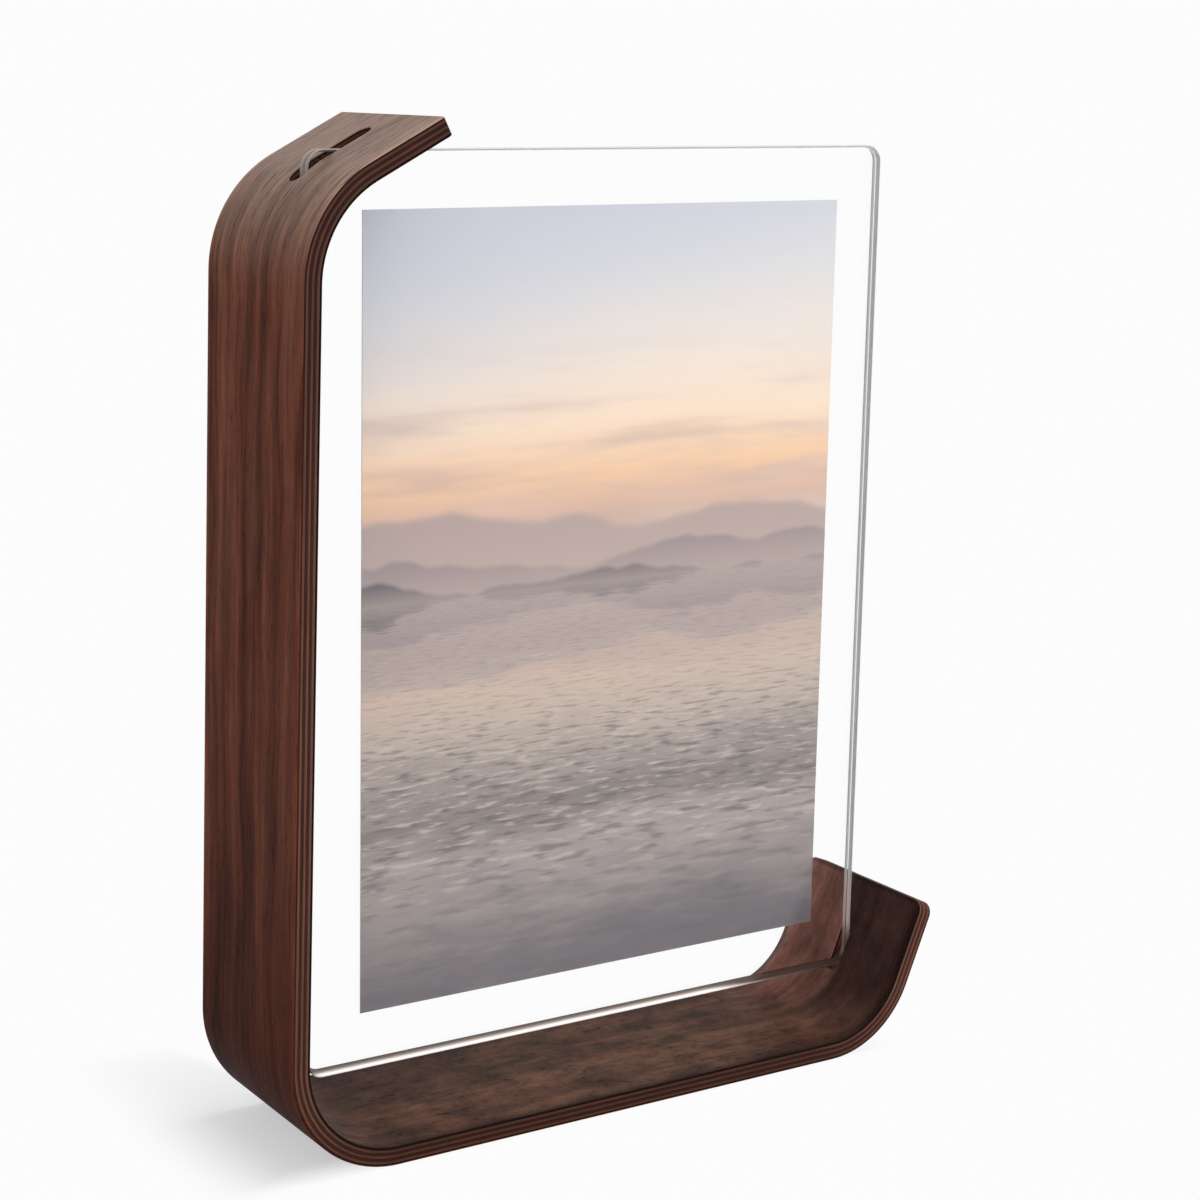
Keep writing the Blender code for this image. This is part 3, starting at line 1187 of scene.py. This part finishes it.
    def cutters(self) -> list[bpy.types.Object]:
        """Make the cutters of both slots.

        Returns:
            The lip's cutter and the side end's cutter.
        """
        outline = self.outline
        from_lip = [outline.point(along, outline.thickness) for along in outline.stations()]
        from_side = from_lip[::-1]
        left = outline.origin_x() + outline.sheet_left
        right = left + outline.sheet_width
        top = outline.sheet_bottom + outline.sheet_height
        lip = self.cutter(
            "lip_slot_cutter", from_lip, self.crossing(from_lip, 1, top),
            self.crossing(from_lip, 0, left), self.lip_clearance,
        )
        side = self.cutter(
            "side_slot_cutter", from_side, self.crossing(from_side, 0, right),
            self.crossing(from_side, 1, outline.sheet_bottom), self.side_clearance,
        )
        return [lip, side]

    def cut_slots(self, piece: bpy.types.Object, cutters: list[bpy.types.Object]) -> None:
        """Cut the slots out of a veneer.

        Args:
            piece: The veneer.
            cutters: The slots' cutters.
        """
        for cutter in cutters:
            cut = piece.modifiers.new(cutter.name, "BOOLEAN")
            cut.operation = "DIFFERENCE"
            cut.solver = "EXACT"
            cut.object = cutter
        bpy.context.view_layer.update()
        evaluated = piece.evaluated_get(bpy.context.evaluated_depsgraph_get())
        solid = bpy.data.meshes.new_from_object(evaluated)
        piece.modifiers.clear()
        blank = piece.data
        piece.data = solid
        bpy.data.meshes.remove(blank)
        solid.name = piece.name

    def ease_slot_rims(self, mesh: bpy.types.Mesh, face_depth: float) -> None:
        """Round the slots' sharp rims on a face of the strip.

        Args:
            mesh: The face veneer's mesh.
            face_depth: The face's depth under the strip's outer face.
        """
        shell = bmesh.new()
        shell.from_mesh(mesh)
        on_face = [
            abs(self.outline.locate(Vector((vert.co.x, vert.co.z)))[1] - face_depth) < FACE_SLACK
            for vert in shell.verts
        ]
        rim = [
            edge
            for edge in shell.edges
            if len(edge.link_faces) == 2
            and edge.calc_face_angle() > self.slot_rim_angle
            and all(on_face[vert.index] for vert in edge.verts)
        ]
        bmesh.ops.bevel(
            shell, geom=rim, offset=self.slot_rim, segments=self.slot_rim_steps, profile=0.5, affect="EDGES"
        )
        shell.to_mesh(mesh)
        shell.free()

    def strip_place(self, point: Vector) -> tuple[float, float, float]:
        """Return a point's place in the strip: along it, across it and into it, in millimetres."""
        along, depth = self.outline.locate(Vector((point.x, point.z)))
        return along / MM, point.y / MM, depth / MM

    def material(self, veneer: Veneer) -> bpy.types.Material:
        """Return the finish of a veneer.

        Args:
            veneer: The veneer.

        Returns:
            The material.
        """
        seed = self.seed_step * (veneer.index + 1)
        if veneer.index not in self.face_depths():
            edge = self.pale_edge if veneer.index % 2 else self.dark_edge
            return edge.build(f"sanded_edge_{veneer.index}", seed)
        length = self.outline.length() / MM
        depth = self.face_depths()[veneer.index] / MM
        if veneer.index == Face.OUTER:
            return self.outside_finish.build("oiled_walnut_outside", length, depth, self.dark_edge, seed)
        return self.inside_finish.build("oiled_walnut_inside", length, depth, self.darkest_edge, seed)

    def build(self) -> None:
        """Build the seven veneers, dress them and fit them to the frame."""
        cutters = self.cutters()
        for veneer in self.veneers():
            piece = add_object(veneer.piece, self.blank(veneer))
            self.cut_slots(piece, cutters)
            if veneer.index in self.face_depths():
                self.ease_slot_rims(piece.data, self.face_depths()[veneer.index])
            store_places(piece.data, STRIP_PLACE, self.strip_place)
            piece.data.materials.clear()
            piece.data.materials.append(self.material(veneer))
            shade_smoothly(piece)
            settle(piece, "frame", veneer.node)
        for cutter in cutters:
            bpy.data.meshes.remove(cutter.data)


# Sheets and print


@dataclass(frozen=True)
class ClearSheetFinish:
    """Clear polished faces, and ground edges that show as pale grey lines, with their marks in mm."""

    tint: Colour = (0.997, 0.999, 0.998)
    index_of_refraction: float = 1.28
    let_through: Colour = (0.97, 0.975, 0.975)
    side_grey: Colour = (0.50, 0.505, 0.485)
    top_grey: Colour = (0.66, 0.66, 0.645)
    top_above: Range = (200.5, 202.5)
    # Painted reflections of the wood, in the lip's slot and low on the side edge, and painted views of the
    # wood through the glass along the bottom.
    slot_painted_wood_reflection: Colour = (0.30, 0.245, 0.22)
    slot_beyond: Range = (187.0, 197.0)
    side_painted_wood_reflection: Colour = (0.60, 0.49, 0.455)
    pink_below: Range = (20.5, 22.5)
    corner_painted_wood_reflection: Colour = (0.27, 0.165, 0.145)
    brown_below: Range = (6.5, 12.0)
    # Painted highlight along the bottom edge.
    foot_painted_highlight: Colour = (0.95, 0.92, 0.89)
    foot_painted_wood_view: Colour = (0.17, 0.125, 0.10)
    right_end_painted_wood_view: Colour = (0.085, 0.046, 0.037)
    side_from: Range = (104.0, 132.0)
    foot_below: Range = (1.6, 2.8)
    front_face: float = 1.8
    lit_up: float = 3.0
    lit_back: float = 1.3
    lit_rise: Range = (-1.8, 1.3)
    lit_fall: Range = (1.6, 6.0)
    lit_tail: Range = (108.0, 132.0)
    tail_narrowing: float = 3.4
    tail_dimming: float = 0.5
    lit_end: Range = (136.0, 146.0)
    # Painted glow of the edges: a little everywhere, most under the painted highlight.
    painted_glow: Range = (0.02, 0.40)
    ground: Pattern = Pattern(0.35, 0.35, 5.0, shows=(0.2, 0.8))
    slow: Pattern = Pattern(21.0, 21.0, 2.0, shows=(0.2, 0.8))
    levels: tuple[float, float, float] = (0.92, 0.08, 0.06)
    roughness: float = 0.4
    ground_roughness: float = 0.2
    specular: float = 0.3
    ground_height: float = 0.01 * MM

    def faces(self) -> bpy.types.Material:
        """Make the material of the polished faces, which lets the lamps through.

        Returns:
            The material.
        """
        material, board = new_material("clear_sheet_faces")
        sockets = {
            "Base Color": (*self.tint, 1.0),
            "Roughness": 0.0,
            "IOR": self.index_of_refraction,
            "Transmission Weight": 1.0,
        }
        glass = board.node("ShaderNodeBsdfPrincipled", {}, sockets)
        open_air = board.node("ShaderNodeBsdfTransparent", {}, {"Color": (*self.let_through, 1.0)})
        board.surface_of_two(board.any_ray("Is Shadow Ray", "Is Diffuse Ray"), glass, open_air)
        return material

    def edges(self) -> bpy.types.Material:
        """Make the material of the ground edges, whitest along the bottom with a glowing painted highlight,
        and with painted wood colours near the wood.

        Returns:
            The material.
        """
        material, board = new_material("ground_sheet_edges")
        right, up, back = board.place(PICTURE_PLACE)
        ground = self.ground.draw(board, right, up)
        colour = board.mix(up.step(*self.top_above), self.side_grey, self.top_grey)
        # Painted wood colours: reflections of the wood in the lip's slot and low on the side edge, then the
        # wood seen through the glass along the bottom.
        colour = board.mix((up - right).step(*self.slot_beyond), colour, self.slot_painted_wood_reflection)
        colour = board.mix(1.0 - up.step(*self.pink_below), colour, self.side_painted_wood_reflection)
        colour = board.mix(1.0 - up.step(*self.brown_below), colour, self.corner_painted_wood_reflection)
        foot = board.mix(right.step(*self.side_from), self.foot_painted_wood_view, self.right_end_painted_wood_view)
        colour = board.mix(1.0 - up.step(*self.foot_below), colour, foot)
        # Painted highlight along the bottom edge, narrower and dimmer towards its right end.
        raised = self.lit_up * up + self.lit_back * (back + self.front_face)
        tail = right.step(*self.lit_tail)
        lit = raised.step(*self.lit_rise) * (1.0 - (raised + self.tail_narrowing * tail).step(*self.lit_fall))
        lit = lit * (1.0 - self.tail_dimming * tail) * (1.0 - right.step(*self.lit_end))
        colour = board.mix(lit, colour, self.foot_painted_highlight)
        least, fine, slow = self.levels
        colour = board.shade(colour, least + fine * ground + slow * self.slow.draw(board, right, up))
        # Painted glow: the edges glow a little everywhere and more under the painted highlight.
        least, most = self.painted_glow
        board.surface({
            "Base Color": colour,
            "Roughness": self.roughness + self.ground_roughness * ground,
            "Specular IOR Level": self.specular,
            "Emission Color": board.shade(colour, least + most * lit),
            "Emission Strength": 1.0,
            "Normal": board.bump(ground, self.ground_height),
        })
        return material


@dataclass(frozen=True)
class ClearSheets:
    """The two clear sheets, one before and one behind the print."""

    outline: StripOutline
    thickness: float = 1.4 * MM
    space: float = 0.8 * MM
    corner: float = 4.0 * MM
    side_arris: float = 0.18 * MM
    foot_arris: float = 0.66 * MM
    side_strip: float = 0.55 * MM
    foot_strip: float = 1.6 * MM
    arris_steps: int = 4
    corner_steps: int = 16
    inwards: float = 1.0 * MM
    least_turn: float = 1e-6
    finish: ClearSheetFinish = ClearSheetFinish()

    def ring(self, outline: list[tuple[Vector, Vector]], to_back: float, turned: float) -> list[Vector]:
        """Return one ring of points round the sheet's rounded edge.

        Args:
            outline: Points and outward normals of the sheet's outline, as (x, z).
            to_back: Where the sheet's middle stands, from front to back.
            turned: How far round the edge the ring lies, from -90 degrees in front to 90 behind.

        Returns:
            The ring's points. The edge is rounder along the bottom than elsewhere.
        """
        points = []
        for point, normal in outline:
            arris = self.side_arris + (self.foot_arris - self.side_arris) * max(0.0, -normal.y) ** 2
            inset = arris * (1.0 - math.cos(turned))
            back = math.copysign(self.thickness / 2.0 - arris * (1.0 - abs(math.sin(turned))), turned)
            points.append(Vector((point.x - normal.x * inset, to_back + back, point.y - normal.y * inset)))
        return points

    def inner_ring(self, outline: list[tuple[Vector, Vector]], to_back: float) -> list[Vector]:
        """Return the inner border of the ground strip on the side that faces the print.

        Args:
            outline: Points and outward normals of the sheet's outline, as (x, z).
            to_back: Where the sheet's middle stands, from front to back.

        Returns:
            The ring's points.
        """
        back = to_back - math.copysign(self.thickness / 2.0, to_back)
        points = []
        for point, normal in outline:
            inset = self.side_strip + (self.foot_strip - self.side_strip) * max(0.0, -normal.y) ** 2
            points.append(Vector((point.x - normal.x * inset, back, point.y - normal.y * inset)))
        return points

    def mesh(self, name: str, to_back: float) -> bpy.types.Mesh:
        """Make one sheet: two flat faces, a rounded edge, and a ground strip along it inside.

        Args:
            name: The mesh's name.
            to_back: Where the sheet's middle stands, from front to back.

        Returns:
            The mesh, its faces in material slot 0 and its edges in slot 1.
        """
        width, height = self.outline.sheet_width, self.outline.sheet_height
        corner = Vector((self.outline.origin_x() + self.outline.sheet_left, self.outline.sheet_bottom))
        centre = corner + Vector((width, height)) / 2.0
        steps = self.corner_steps
        rim, within = (
            rounded_rectangle(width - 2.0 * inset, height - 2.0 * inset, self.corner - inset, steps)
            for inset in (0.0, self.inwards)
        )
        outline = [(centre + point, (point - inner).normalized()) for point, inner in zip(rim, within)]
        turns = [self.least_turn, *quarter_turn(self.arris_steps)[1:]]
        rings = [self.ring(outline, to_back, turned) for turned in (*(-turn for turn in turns[::-1]), *turns)]
        rings.insert(len(rings) if to_back < 0.0 else 0, self.inner_ring(outline, to_back))
        made = capped_rings(name, rings)
        for face in made.polygons:
            face.material_index = 0 if len(face.vertices) > 4 else 1
        return made

    def sheet_place(self, point: Vector) -> tuple[float, float, float]:
        """Return a point's place on the sheet, in millimetres from its bottom left corner."""
        left = self.outline.origin_x() + self.outline.sheet_left
        return (point.x - left) / MM, (point.z - self.outline.sheet_bottom) / MM, point.y / MM

    def build(self) -> None:
        """Build both sheets, dress them and fit them to the frame."""
        faces = self.finish.faces()
        edges = self.finish.edges()
        offset = (self.space + self.thickness) / 2.0
        for name, node, to_back in (("clear_front_sheet", "front_sheet", -offset),
                                    ("clear_back_sheet", "back_sheet", offset)):
            piece = add_object(name, self.mesh(name, to_back))
            store_places(piece.data, PICTURE_PLACE, self.sheet_place)
            piece.data.materials.append(faces)
            piece.data.materials.append(edges)
            settle(piece, "frame", node)


@dataclass(frozen=True)
class Ridge:
    """A ridge of misty hills, its sizes as shares of the picture."""

    colour: Colour
    foot: float
    rise: float
    bumps: float
    seed: float
    soft: float

    def cover(self, board: ShaderBoard, u: Value, height: Value) -> Value:
        """Return 1 in the hills and 0 outside, at a place across the picture and over the horizon."""
        top = self.foot + self.rise * (board.noise(u * self.bumps, self.seed, 0.5, 3.0, 0.45) - 0.5)
        return (top - height).step(-self.soft, self.soft)

    def haze(self, height: Value) -> Value:
        """Return the share of mist on the ridge, 1 at its foot and 0 further up."""
        return 1.0 - height.step(-0.01, self.foot + self.rise * 0.25)


@dataclass(frozen=True)
class DuskPicture:
    """A generic printed landscape: misty hills over a calm lake at dusk."""

    width: float = 127.0
    height: float = 177.8
    horizon: float = 0.52
    sky: Stops = (
        (0.00, (0.50, 0.36, 0.33)),
        (0.14, (0.58, 0.42, 0.36)),
        (0.21, (0.72, 0.47, 0.36)),
        (0.30, (0.93, 0.60, 0.38)),
        (0.44, (0.96, 0.74, 0.57)),
        (0.62, (0.88, 0.77, 0.69)),
        (0.82, (0.77, 0.74, 0.74)),
        (1.00, (0.71, 0.71, 0.76)),
    )
    lavender: Colour = (0.55, 0.575, 0.67)
    lavender_from: Range = (0.10, 0.46)
    lavender_slope: float = 0.22
    lavender_share: float = 0.75
    streak: Pattern = Pattern(1.0 / 2.1, 1.0 / 21.0, 4.0, 3.0, shows=(0.42, 0.72))
    streak_band: tuple[float, float, float, float] = (0.05, 0.13, 0.19, 0.34)
    streak_share: float = 0.55
    cloud_shade: Colour = (0.52, 0.37, 0.36)
    glow: Pattern = Pattern(1.0 / 1.4, 1.0 / 9.0, 9.0, shows=(0.45, 0.75))
    glow_start: float = 3.0 / 1.4
    glow_fades: Range = (0.2, 0.4)
    glow_share: float = 0.35
    cloud_light: Colour = (1.0, 0.80, 0.66)
    mist: Colour = (0.58, 0.45, 0.40)
    mist_share: float = 0.55
    ridges: tuple[Ridge, ...] = (
        Ridge((0.47, 0.355, 0.335), 0.080, 0.13, 2.6, 1.3, 0.007),
        Ridge((0.32, 0.255, 0.265), 0.040, 0.12, 3.4, 6.1, 0.005),
        Ridge((0.145, 0.125, 0.142), 0.010, 0.085, 4.6, 11.9, 0.004),
    )
    lake: Stops = (
        (0.00, (0.44, 0.37, 0.35)),
        (0.12, (0.36, 0.31, 0.31)),
        (0.25, (0.58, 0.46, 0.39)),
        (0.33, (0.53, 0.43, 0.37)),
        (0.44, (0.37, 0.31, 0.285)),
        (0.55, (0.240, 0.205, 0.195)),
        (0.66, (0.40, 0.335, 0.32)),
        (0.80, (0.28, 0.24, 0.24)),
        (0.92, (0.185, 0.163, 0.175)),
        (1.00, (0.165, 0.145, 0.162)),
    )
    swell: Pattern = Pattern(1.0 / 1.5, 1.0 / 6.0, 2.0, 4.0, 0.55)
    ripple: Pattern = Pattern(1.0 / 5.0, 1.0 / 21.0, 5.0, 3.0, 0.55)
    swell_share: float = 0.42
    ripple_share: float = 0.16
    still_until: float = 0.05
    eye_height: float = 0.16
    mirror_height: float = 0.9
    mirror_wobble: float = 0.05
    mirror_share: float = 0.75
    mirror_fades: Range = (0.03, 0.17)
    calm_ruffle: float = 0.35
    ruffled_band: tuple[float, float, float, float] = (0.10, 0.22, 0.32, 0.46)
    dip_share: float = 0.55
    dip: Pattern = Pattern(1.0 / 7.0, 1.0 / 27.0, 13.0, shows=(0.50, 0.68))
    trough: Colour = (0.10, 0.085, 0.088)
    crest: Pattern = Pattern(1.0 / 8.0, 1.0 / 33.0, 7.0, shows=(0.52, 0.70))
    crests_from: Range = (0.0, 0.1)
    crests_fade: Range = (0.30, 0.44)
    crests_faded: float = 0.7
    crest_share: float = 0.5
    glint: Colour = (0.70, 0.58, 0.52)
    shore: float = 0.0015

    def land(self, board: ShaderBoard, u: Value, height: Value) -> Value:
        """Return the colours of the sky and the hills.

        Args:
            board: The board to build on.
            u: Place across the picture, from 0 to 1.
            height: Height over the horizon, as a share of the picture.

        Returns:
            The colour.
        """
        colour = board.ramp(height / (1.0 - self.horizon), self.sky)
        corner = (height - u * self.lavender_slope).step(*self.lavender_from)
        colour = board.mix(corner * self.lavender_share, colour, self.lavender)
        streaks = self.streak.draw(board, u, height) * height.within(*self.streak_band)
        colour = board.mix(streaks * self.streak_share, colour, self.cloud_shade)
        glow = self.glow.draw(board, u + self.glow_start, height) * (1.0 - height.step(*self.glow_fades))
        colour = board.mix(glow * self.glow_share, colour, self.cloud_light)
        for ridge in self.ridges:
            hills = board.mix(ridge.haze(height) * self.mist_share, ridge.colour, self.mist)
            colour = board.mix(ridge.cover(board, u, height), colour, hills)
        return colour

    def picture(self, board: ShaderBoard, right: Value, up: Value) -> Value:
        """Return the colours of the whole picture.

        Args:
            board: The board to build on.
            right: Millimetres from the print's left edge.
            up: Millimetres from its bottom edge.

        Returns:
            The colour.
        """
        u = right / self.width
        above = up / self.height - self.horizon
        below = board.larger(-1.0 * above, 0.0)
        away = 1.0 / (below + self.eye_height)
        aside = (u - 0.5) * away
        swell = self.swell.raw(board, aside, away) - 0.5
        ripple = self.ripple.raw(board, aside, away) - 0.5
        moved = (swell * self.swell_share + ripple * self.ripple_share) * (self.still_until + below)
        shifted = below + moved
        lake = board.ramp(shifted / self.horizon, self.lake)
        mirrored = board.larger(shifted * self.mirror_height, 0.0)
        mirror = self.land(board, u + ripple * self.mirror_wobble, mirrored)
        lake = board.mix(self.mirror_share * (1.0 - below.step(*self.mirror_fades)), lake, mirror)
        ruffled = self.calm_ruffle + (1.0 - self.calm_ruffle) * below.within(*self.ruffled_band)
        lake = board.mix(self.dip.draw(board, aside, away) * ruffled * self.dip_share, lake, self.trough)
        crests = self.crest.draw(board, aside, away) * below.step(*self.crests_from)
        crests = crests * (1.0 - self.crests_faded * below.step(*self.crests_fade))
        lake = board.mix(crests * ruffled * self.crest_share, lake, self.glint)
        land = self.land(board, u, board.larger(above, 0.0))
        return board.mix(above.step(-self.shore, self.shore), lake, land)


@dataclass(frozen=True)
class PrintFinish:
    """The print's two sides: the printed one with a faint satin coat, and the bare paper behind."""

    picture: DuskPicture = DuskPicture()
    coat: Pattern = Pattern(0.6, 0.6, 1.0)
    felt: Pattern = Pattern(1.1, 1.1, 8.0, 3.0)
    paper_tints: Stops = ((0.3, (0.80, 0.79, 0.77)), (0.7, (0.86, 0.85, 0.83)))
    print_roughness: float = 0.42
    paper_roughness: float = 0.6
    roughness_change: float = 0.1
    print_specular: float = 0.2
    paper_specular: float = 0.3
    coat_height: float = 0.001 * MM
    felt_height: float = 0.01 * MM

    def front(self) -> bpy.types.Material:
        """Make the material of the printed side.

        Returns:
            The material.
        """
        material, board = new_material("dusk_landscape_print")
        right, up, _ = board.place(PICTURE_PLACE)
        coat = self.coat.raw(board, right, up)
        board.surface({
            "Base Color": self.picture.picture(board, right, up),
            "Roughness": self.print_roughness + self.roughness_change * (coat - 0.5),
            "Specular IOR Level": self.print_specular,
            "Normal": board.bump(coat, self.coat_height),
        })
        return material

    def paper(self) -> bpy.types.Material:
        """Make the material of the paper's back and edges.

        Returns:
            The material.
        """
        material, board = new_material("photo_paper_back")
        right, up, _ = board.place(PICTURE_PLACE)
        felt = self.felt.raw(board, right, up)
        board.surface({
            "Base Color": board.ramp(felt, self.paper_tints),
            "Roughness": self.paper_roughness + self.roughness_change * (felt - 0.5),
            "Specular IOR Level": self.paper_specular,
            "Normal": board.bump(felt, self.felt_height),
        })
        return material


@dataclass(frozen=True)
class PhotoPrint:
    """The print between the sheets, a thin paper that is nearly flat."""

    outline: StripOutline
    thickness: float = 0.25 * MM
    right_of_middle: float = 1.0 * MM
    bow: float = 0.12 * MM
    columns: int = 18
    rows: int = 24
    flat_at: float = 0.85
    finish: PrintFinish = PrintFinish()

    def corner(self) -> Vector:
        """Return the print's bottom left corner.

        Returns:
            The corner (x, z).
        """
        middle_x = self.outline.origin_x() + self.outline.sheet_left + self.outline.sheet_width / 2.0
        middle_z = self.outline.sheet_bottom + self.outline.sheet_height / 2.0
        picture = self.finish.picture
        left = middle_x + self.right_of_middle - picture.width * MM / 2.0
        return Vector((left, middle_z - picture.height * MM / 2.0))

    def mesh(self, name: str) -> bpy.types.Mesh:
        """Make the paper as two grids joined along their edges.

        Args:
            name: The mesh's name.

        Returns:
            The mesh, its printed side in material slot 0 and the rest in slot 1.
        """
        corner = self.corner()
        picture = self.finish.picture
        points = []
        for side in (-0.5, 0.5):
            for v in (row / self.rows for row in range(self.rows + 1)):
                for u in (column / self.columns for column in range(self.columns + 1)):
                    bowed = self.bow * math.sin(math.pi * u) * math.cos(math.pi * (v + 0.5 - self.flat_at))
                    x = corner.x + u * picture.width * MM
                    z = corner.y + v * picture.height * MM
                    points.append(Vector((x, side * self.thickness + bowed, z)))
        across = self.columns + 1
        layer = across * (self.rows + 1)
        faces = []
        for start in (0, layer):
            faces.extend(band_faces(range(start, start + layer, across), across, False))
        border = [
            *range(self.columns),
            *range(self.columns, layer - 1, across),
            *range(layer - 1, layer - across, -1),
            *range(layer - across, 0, -across),
        ]
        for first, second in zip(border, [*border[1:], border[0]]):
            faces.append([first, second, second + layer, first + layer])
        made = mesh_from(name, points, faces)
        printed = self.rows * self.columns
        for index, face in enumerate(made.polygons):
            face.material_index = 0 if index < printed else 1
        return made

    def print_place(self, point: Vector) -> tuple[float, float, float]:
        """Return a point's place on the print, in millimetres from its bottom left corner."""
        corner = self.corner()
        return (point.x - corner.x) / MM, (point.z - corner.y) / MM, point.y / MM

    def build(self) -> None:
        """Build the print, dress it and fit it to the frame."""
        piece = add_object("dusk_print", self.mesh("dusk_print"))
        store_places(piece.data, PICTURE_PLACE, self.print_place)
        piece.data.materials.append(self.finish.front())
        piece.data.materials.append(self.finish.paper())
        shade_smoothly(piece)
        settle(piece, "print", "photo_print")


# Studio


@dataclass(frozen=True)
class SoftSun:
    """A wide, soft lamp far off, given by the direction towards it."""

    name: str
    towards: tuple[float, float, float]
    spread: float
    level: float

    def build(self) -> None:
        """Put the lamp in the scene, at a level of 1 for a white surface that faces it."""
        lamp = bpy.data.lights.new(self.name, "SUN")
        lamp.angle = self.spread
        lamp.energy = self.level * math.pi
        made = bpy.data.objects.new(self.name, lamp)
        made.rotation_euler = Vector(self.towards).to_track_quat("Z", "Y").to_euler()
        made.location = (0.0, 0.0, 1.0)
        bpy.context.scene.collection.objects.link(made)
        LOG.info("lamp %s", self.name)


@dataclass(frozen=True)
class PhotoCamera:
    """The camera at the photograph's angle, from the fit to the frame's own lines."""

    place: tuple[float, float, float] = (-315.45 * MM, -470.21 * MM, 234.50 * MM)
    yaw: float = 0.5459
    pitch: float = 0.1851
    roll: float = 0.0118
    lens: float = 75.85
    sensor_width: float = 36.0
    clip_start: float = 0.01
    shift_x: float = 0.10
    shift_y: float = -0.05

    def build(self) -> None:
        """Put the camera in the scene and make it the scene's own."""
        ahead = Vector((
            math.sin(self.yaw) * math.cos(self.pitch),
            math.cos(self.yaw) * math.cos(self.pitch),
            -math.sin(self.pitch),
        ))
        level = Vector((math.cos(self.yaw), -math.sin(self.yaw), 0.0))
        upright = level.cross(ahead)
        right = level * math.cos(self.roll) + upright * math.sin(self.roll)
        up = upright * math.cos(self.roll) - level * math.sin(self.roll)
        data = bpy.data.cameras.new("photo_camera")
        data.sensor_width = self.sensor_width
        data.lens = self.lens
        data.shift_x = self.shift_x
        data.shift_y = self.shift_y
        data.clip_start = self.clip_start
        camera = bpy.data.objects.new("photo_camera", data)
        placed = Matrix((right, up, -ahead)).transposed().to_4x4()
        placed.translation = Vector(self.place)
        camera.matrix_world = placed
        bpy.context.scene.collection.objects.link(camera)
        bpy.context.scene.camera = camera


@dataclass(frozen=True)
class Studio:
    """The floor, the pale surroundings, the lamps and the camera, with the shadow's window in mm."""

    white: float = 0.975
    ambient: float = 0.42
    front_glow: float = 1.0
    seen_by: tuple[str, ...] = ("Is Camera Ray", "Is Glossy Ray", "Is Transmission Ray")
    floor_radii: tuple[float, ...] = (0.5, 1.5, 4.0)
    floor_depth: float = 0.1 * MM
    floor_sides: int = 128
    floor_colour: Colour = (0.91, 0.915, 0.92)
    near_white: float = 0.50
    fades_left: Range = (82.0, 110.0)
    fades_right: Range = (30.0, 85.0)
    fades_before: Range = (11.0, 25.0)
    fades_behind: Range = (12.0, 32.0)
    beside_leg: Range = (62.0, 80.0)
    further_beside_leg: float = 40.0
    lamps: tuple[SoftSun, ...] = (
        SoftSun("key_from_above", (0.20, -0.10, 0.97), math.radians(24.0), 0.47),
    )

    def floor_mesh(self) -> bpy.types.Mesh:
        """Make the floor, a round sheet just under the frame.

        Returns:
            The mesh.
        """
        count = self.floor_sides
        under = -self.floor_depth
        points = [Vector((0.0, 0.0, under))]
        for radius in self.floor_radii:
            for turned in (2.0 * math.pi * side / count for side in range(count)):
                points.append(Vector((radius * math.cos(turned), radius * math.sin(turned), under)))
        faces = [[0, 1 + side, 1 + (side + 1) % count] for side in range(count)]
        faces.extend(band_faces(range(1, len(points), count), count, True))
        mesh = mesh_from("pale_floor", points, faces)
        if mesh.polygons[0].normal.z < 0.0:
            mesh.flip_normals()
        return mesh

    def floor(self) -> None:
        """Build the floor, which keeps the shadow near the frame and fades to white further off."""
        floor = add_object("pale_floor", self.floor_mesh())
        material, board = new_material("pale_floor")
        right, back, _ = board.parts("ShaderNodeTexCoord", "Object", {})
        right, back = right / MM, back / MM
        left, before = -1.0 * right, -1.0 * back
        sideways = board.larger(left.step(*self.fades_left), right.step(*self.fades_right))
        behind = (back - self.further_beside_leg * left.step(*self.beside_leg)).step(*self.fades_behind)
        fade = board.larger(sideways, board.larger(before.step(*self.fades_before), behind))
        share = board.any_ray(*self.seen_by) * (self.near_white + (1.0 - self.near_white) * fade)
        matt = board.node("ShaderNodeBsdfDiffuse", {}, {"Color": (*self.floor_colour, 1.0)})
        glow = board.node("ShaderNodeEmission", {}, {"Color": WHITE, "Strength": self.white})
        board.surface_of_two(share, matt, glow)
        floor.data.materials.append(material)
        LOG.info("floor")

    def surroundings(self) -> None:
        """Build the even pale surroundings, white where they are seen."""
        world = bpy.data.worlds.new("pale_surroundings")
        world.use_nodes = True
        world.node_tree.nodes.clear()
        board = ShaderBoard(world.node_tree)
        _, back, _ = board.parts("ShaderNodeTexCoord", "Generated", {})
        glow = self.ambient + self.front_glow * board.larger(-1.0 * back, 0.0)
        seen = board.any_ray(*self.seen_by)
        strength = self.white * seen + glow * (1.0 - seen)
        sky = board.node("ShaderNodeBackground", {}, {"Color": WHITE, "Strength": strength})
        board.node("ShaderNodeOutputWorld", {}, {"Surface": sky.outputs[0]})
        bpy.context.scene.world = world

    def build(self) -> None:
        """Build the whole studio."""
        bpy.context.scene.view_settings.view_transform = "Standard"
        self.floor()
        self.surroundings()
        for lamp in self.lamps:
            lamp.build()
        PhotoCamera().build()


def main() -> None:
    """Build the dressed frame and its studio in order."""
    logging.basicConfig(level=logging.INFO, format="%(name)s: %(message)s")
    Studio().build()
    outline = StripOutline()
    BentStrip(outline).build()
    ClearSheets(outline).build()
    PhotoPrint(outline).build()


if __name__ == "__main__":
    main()
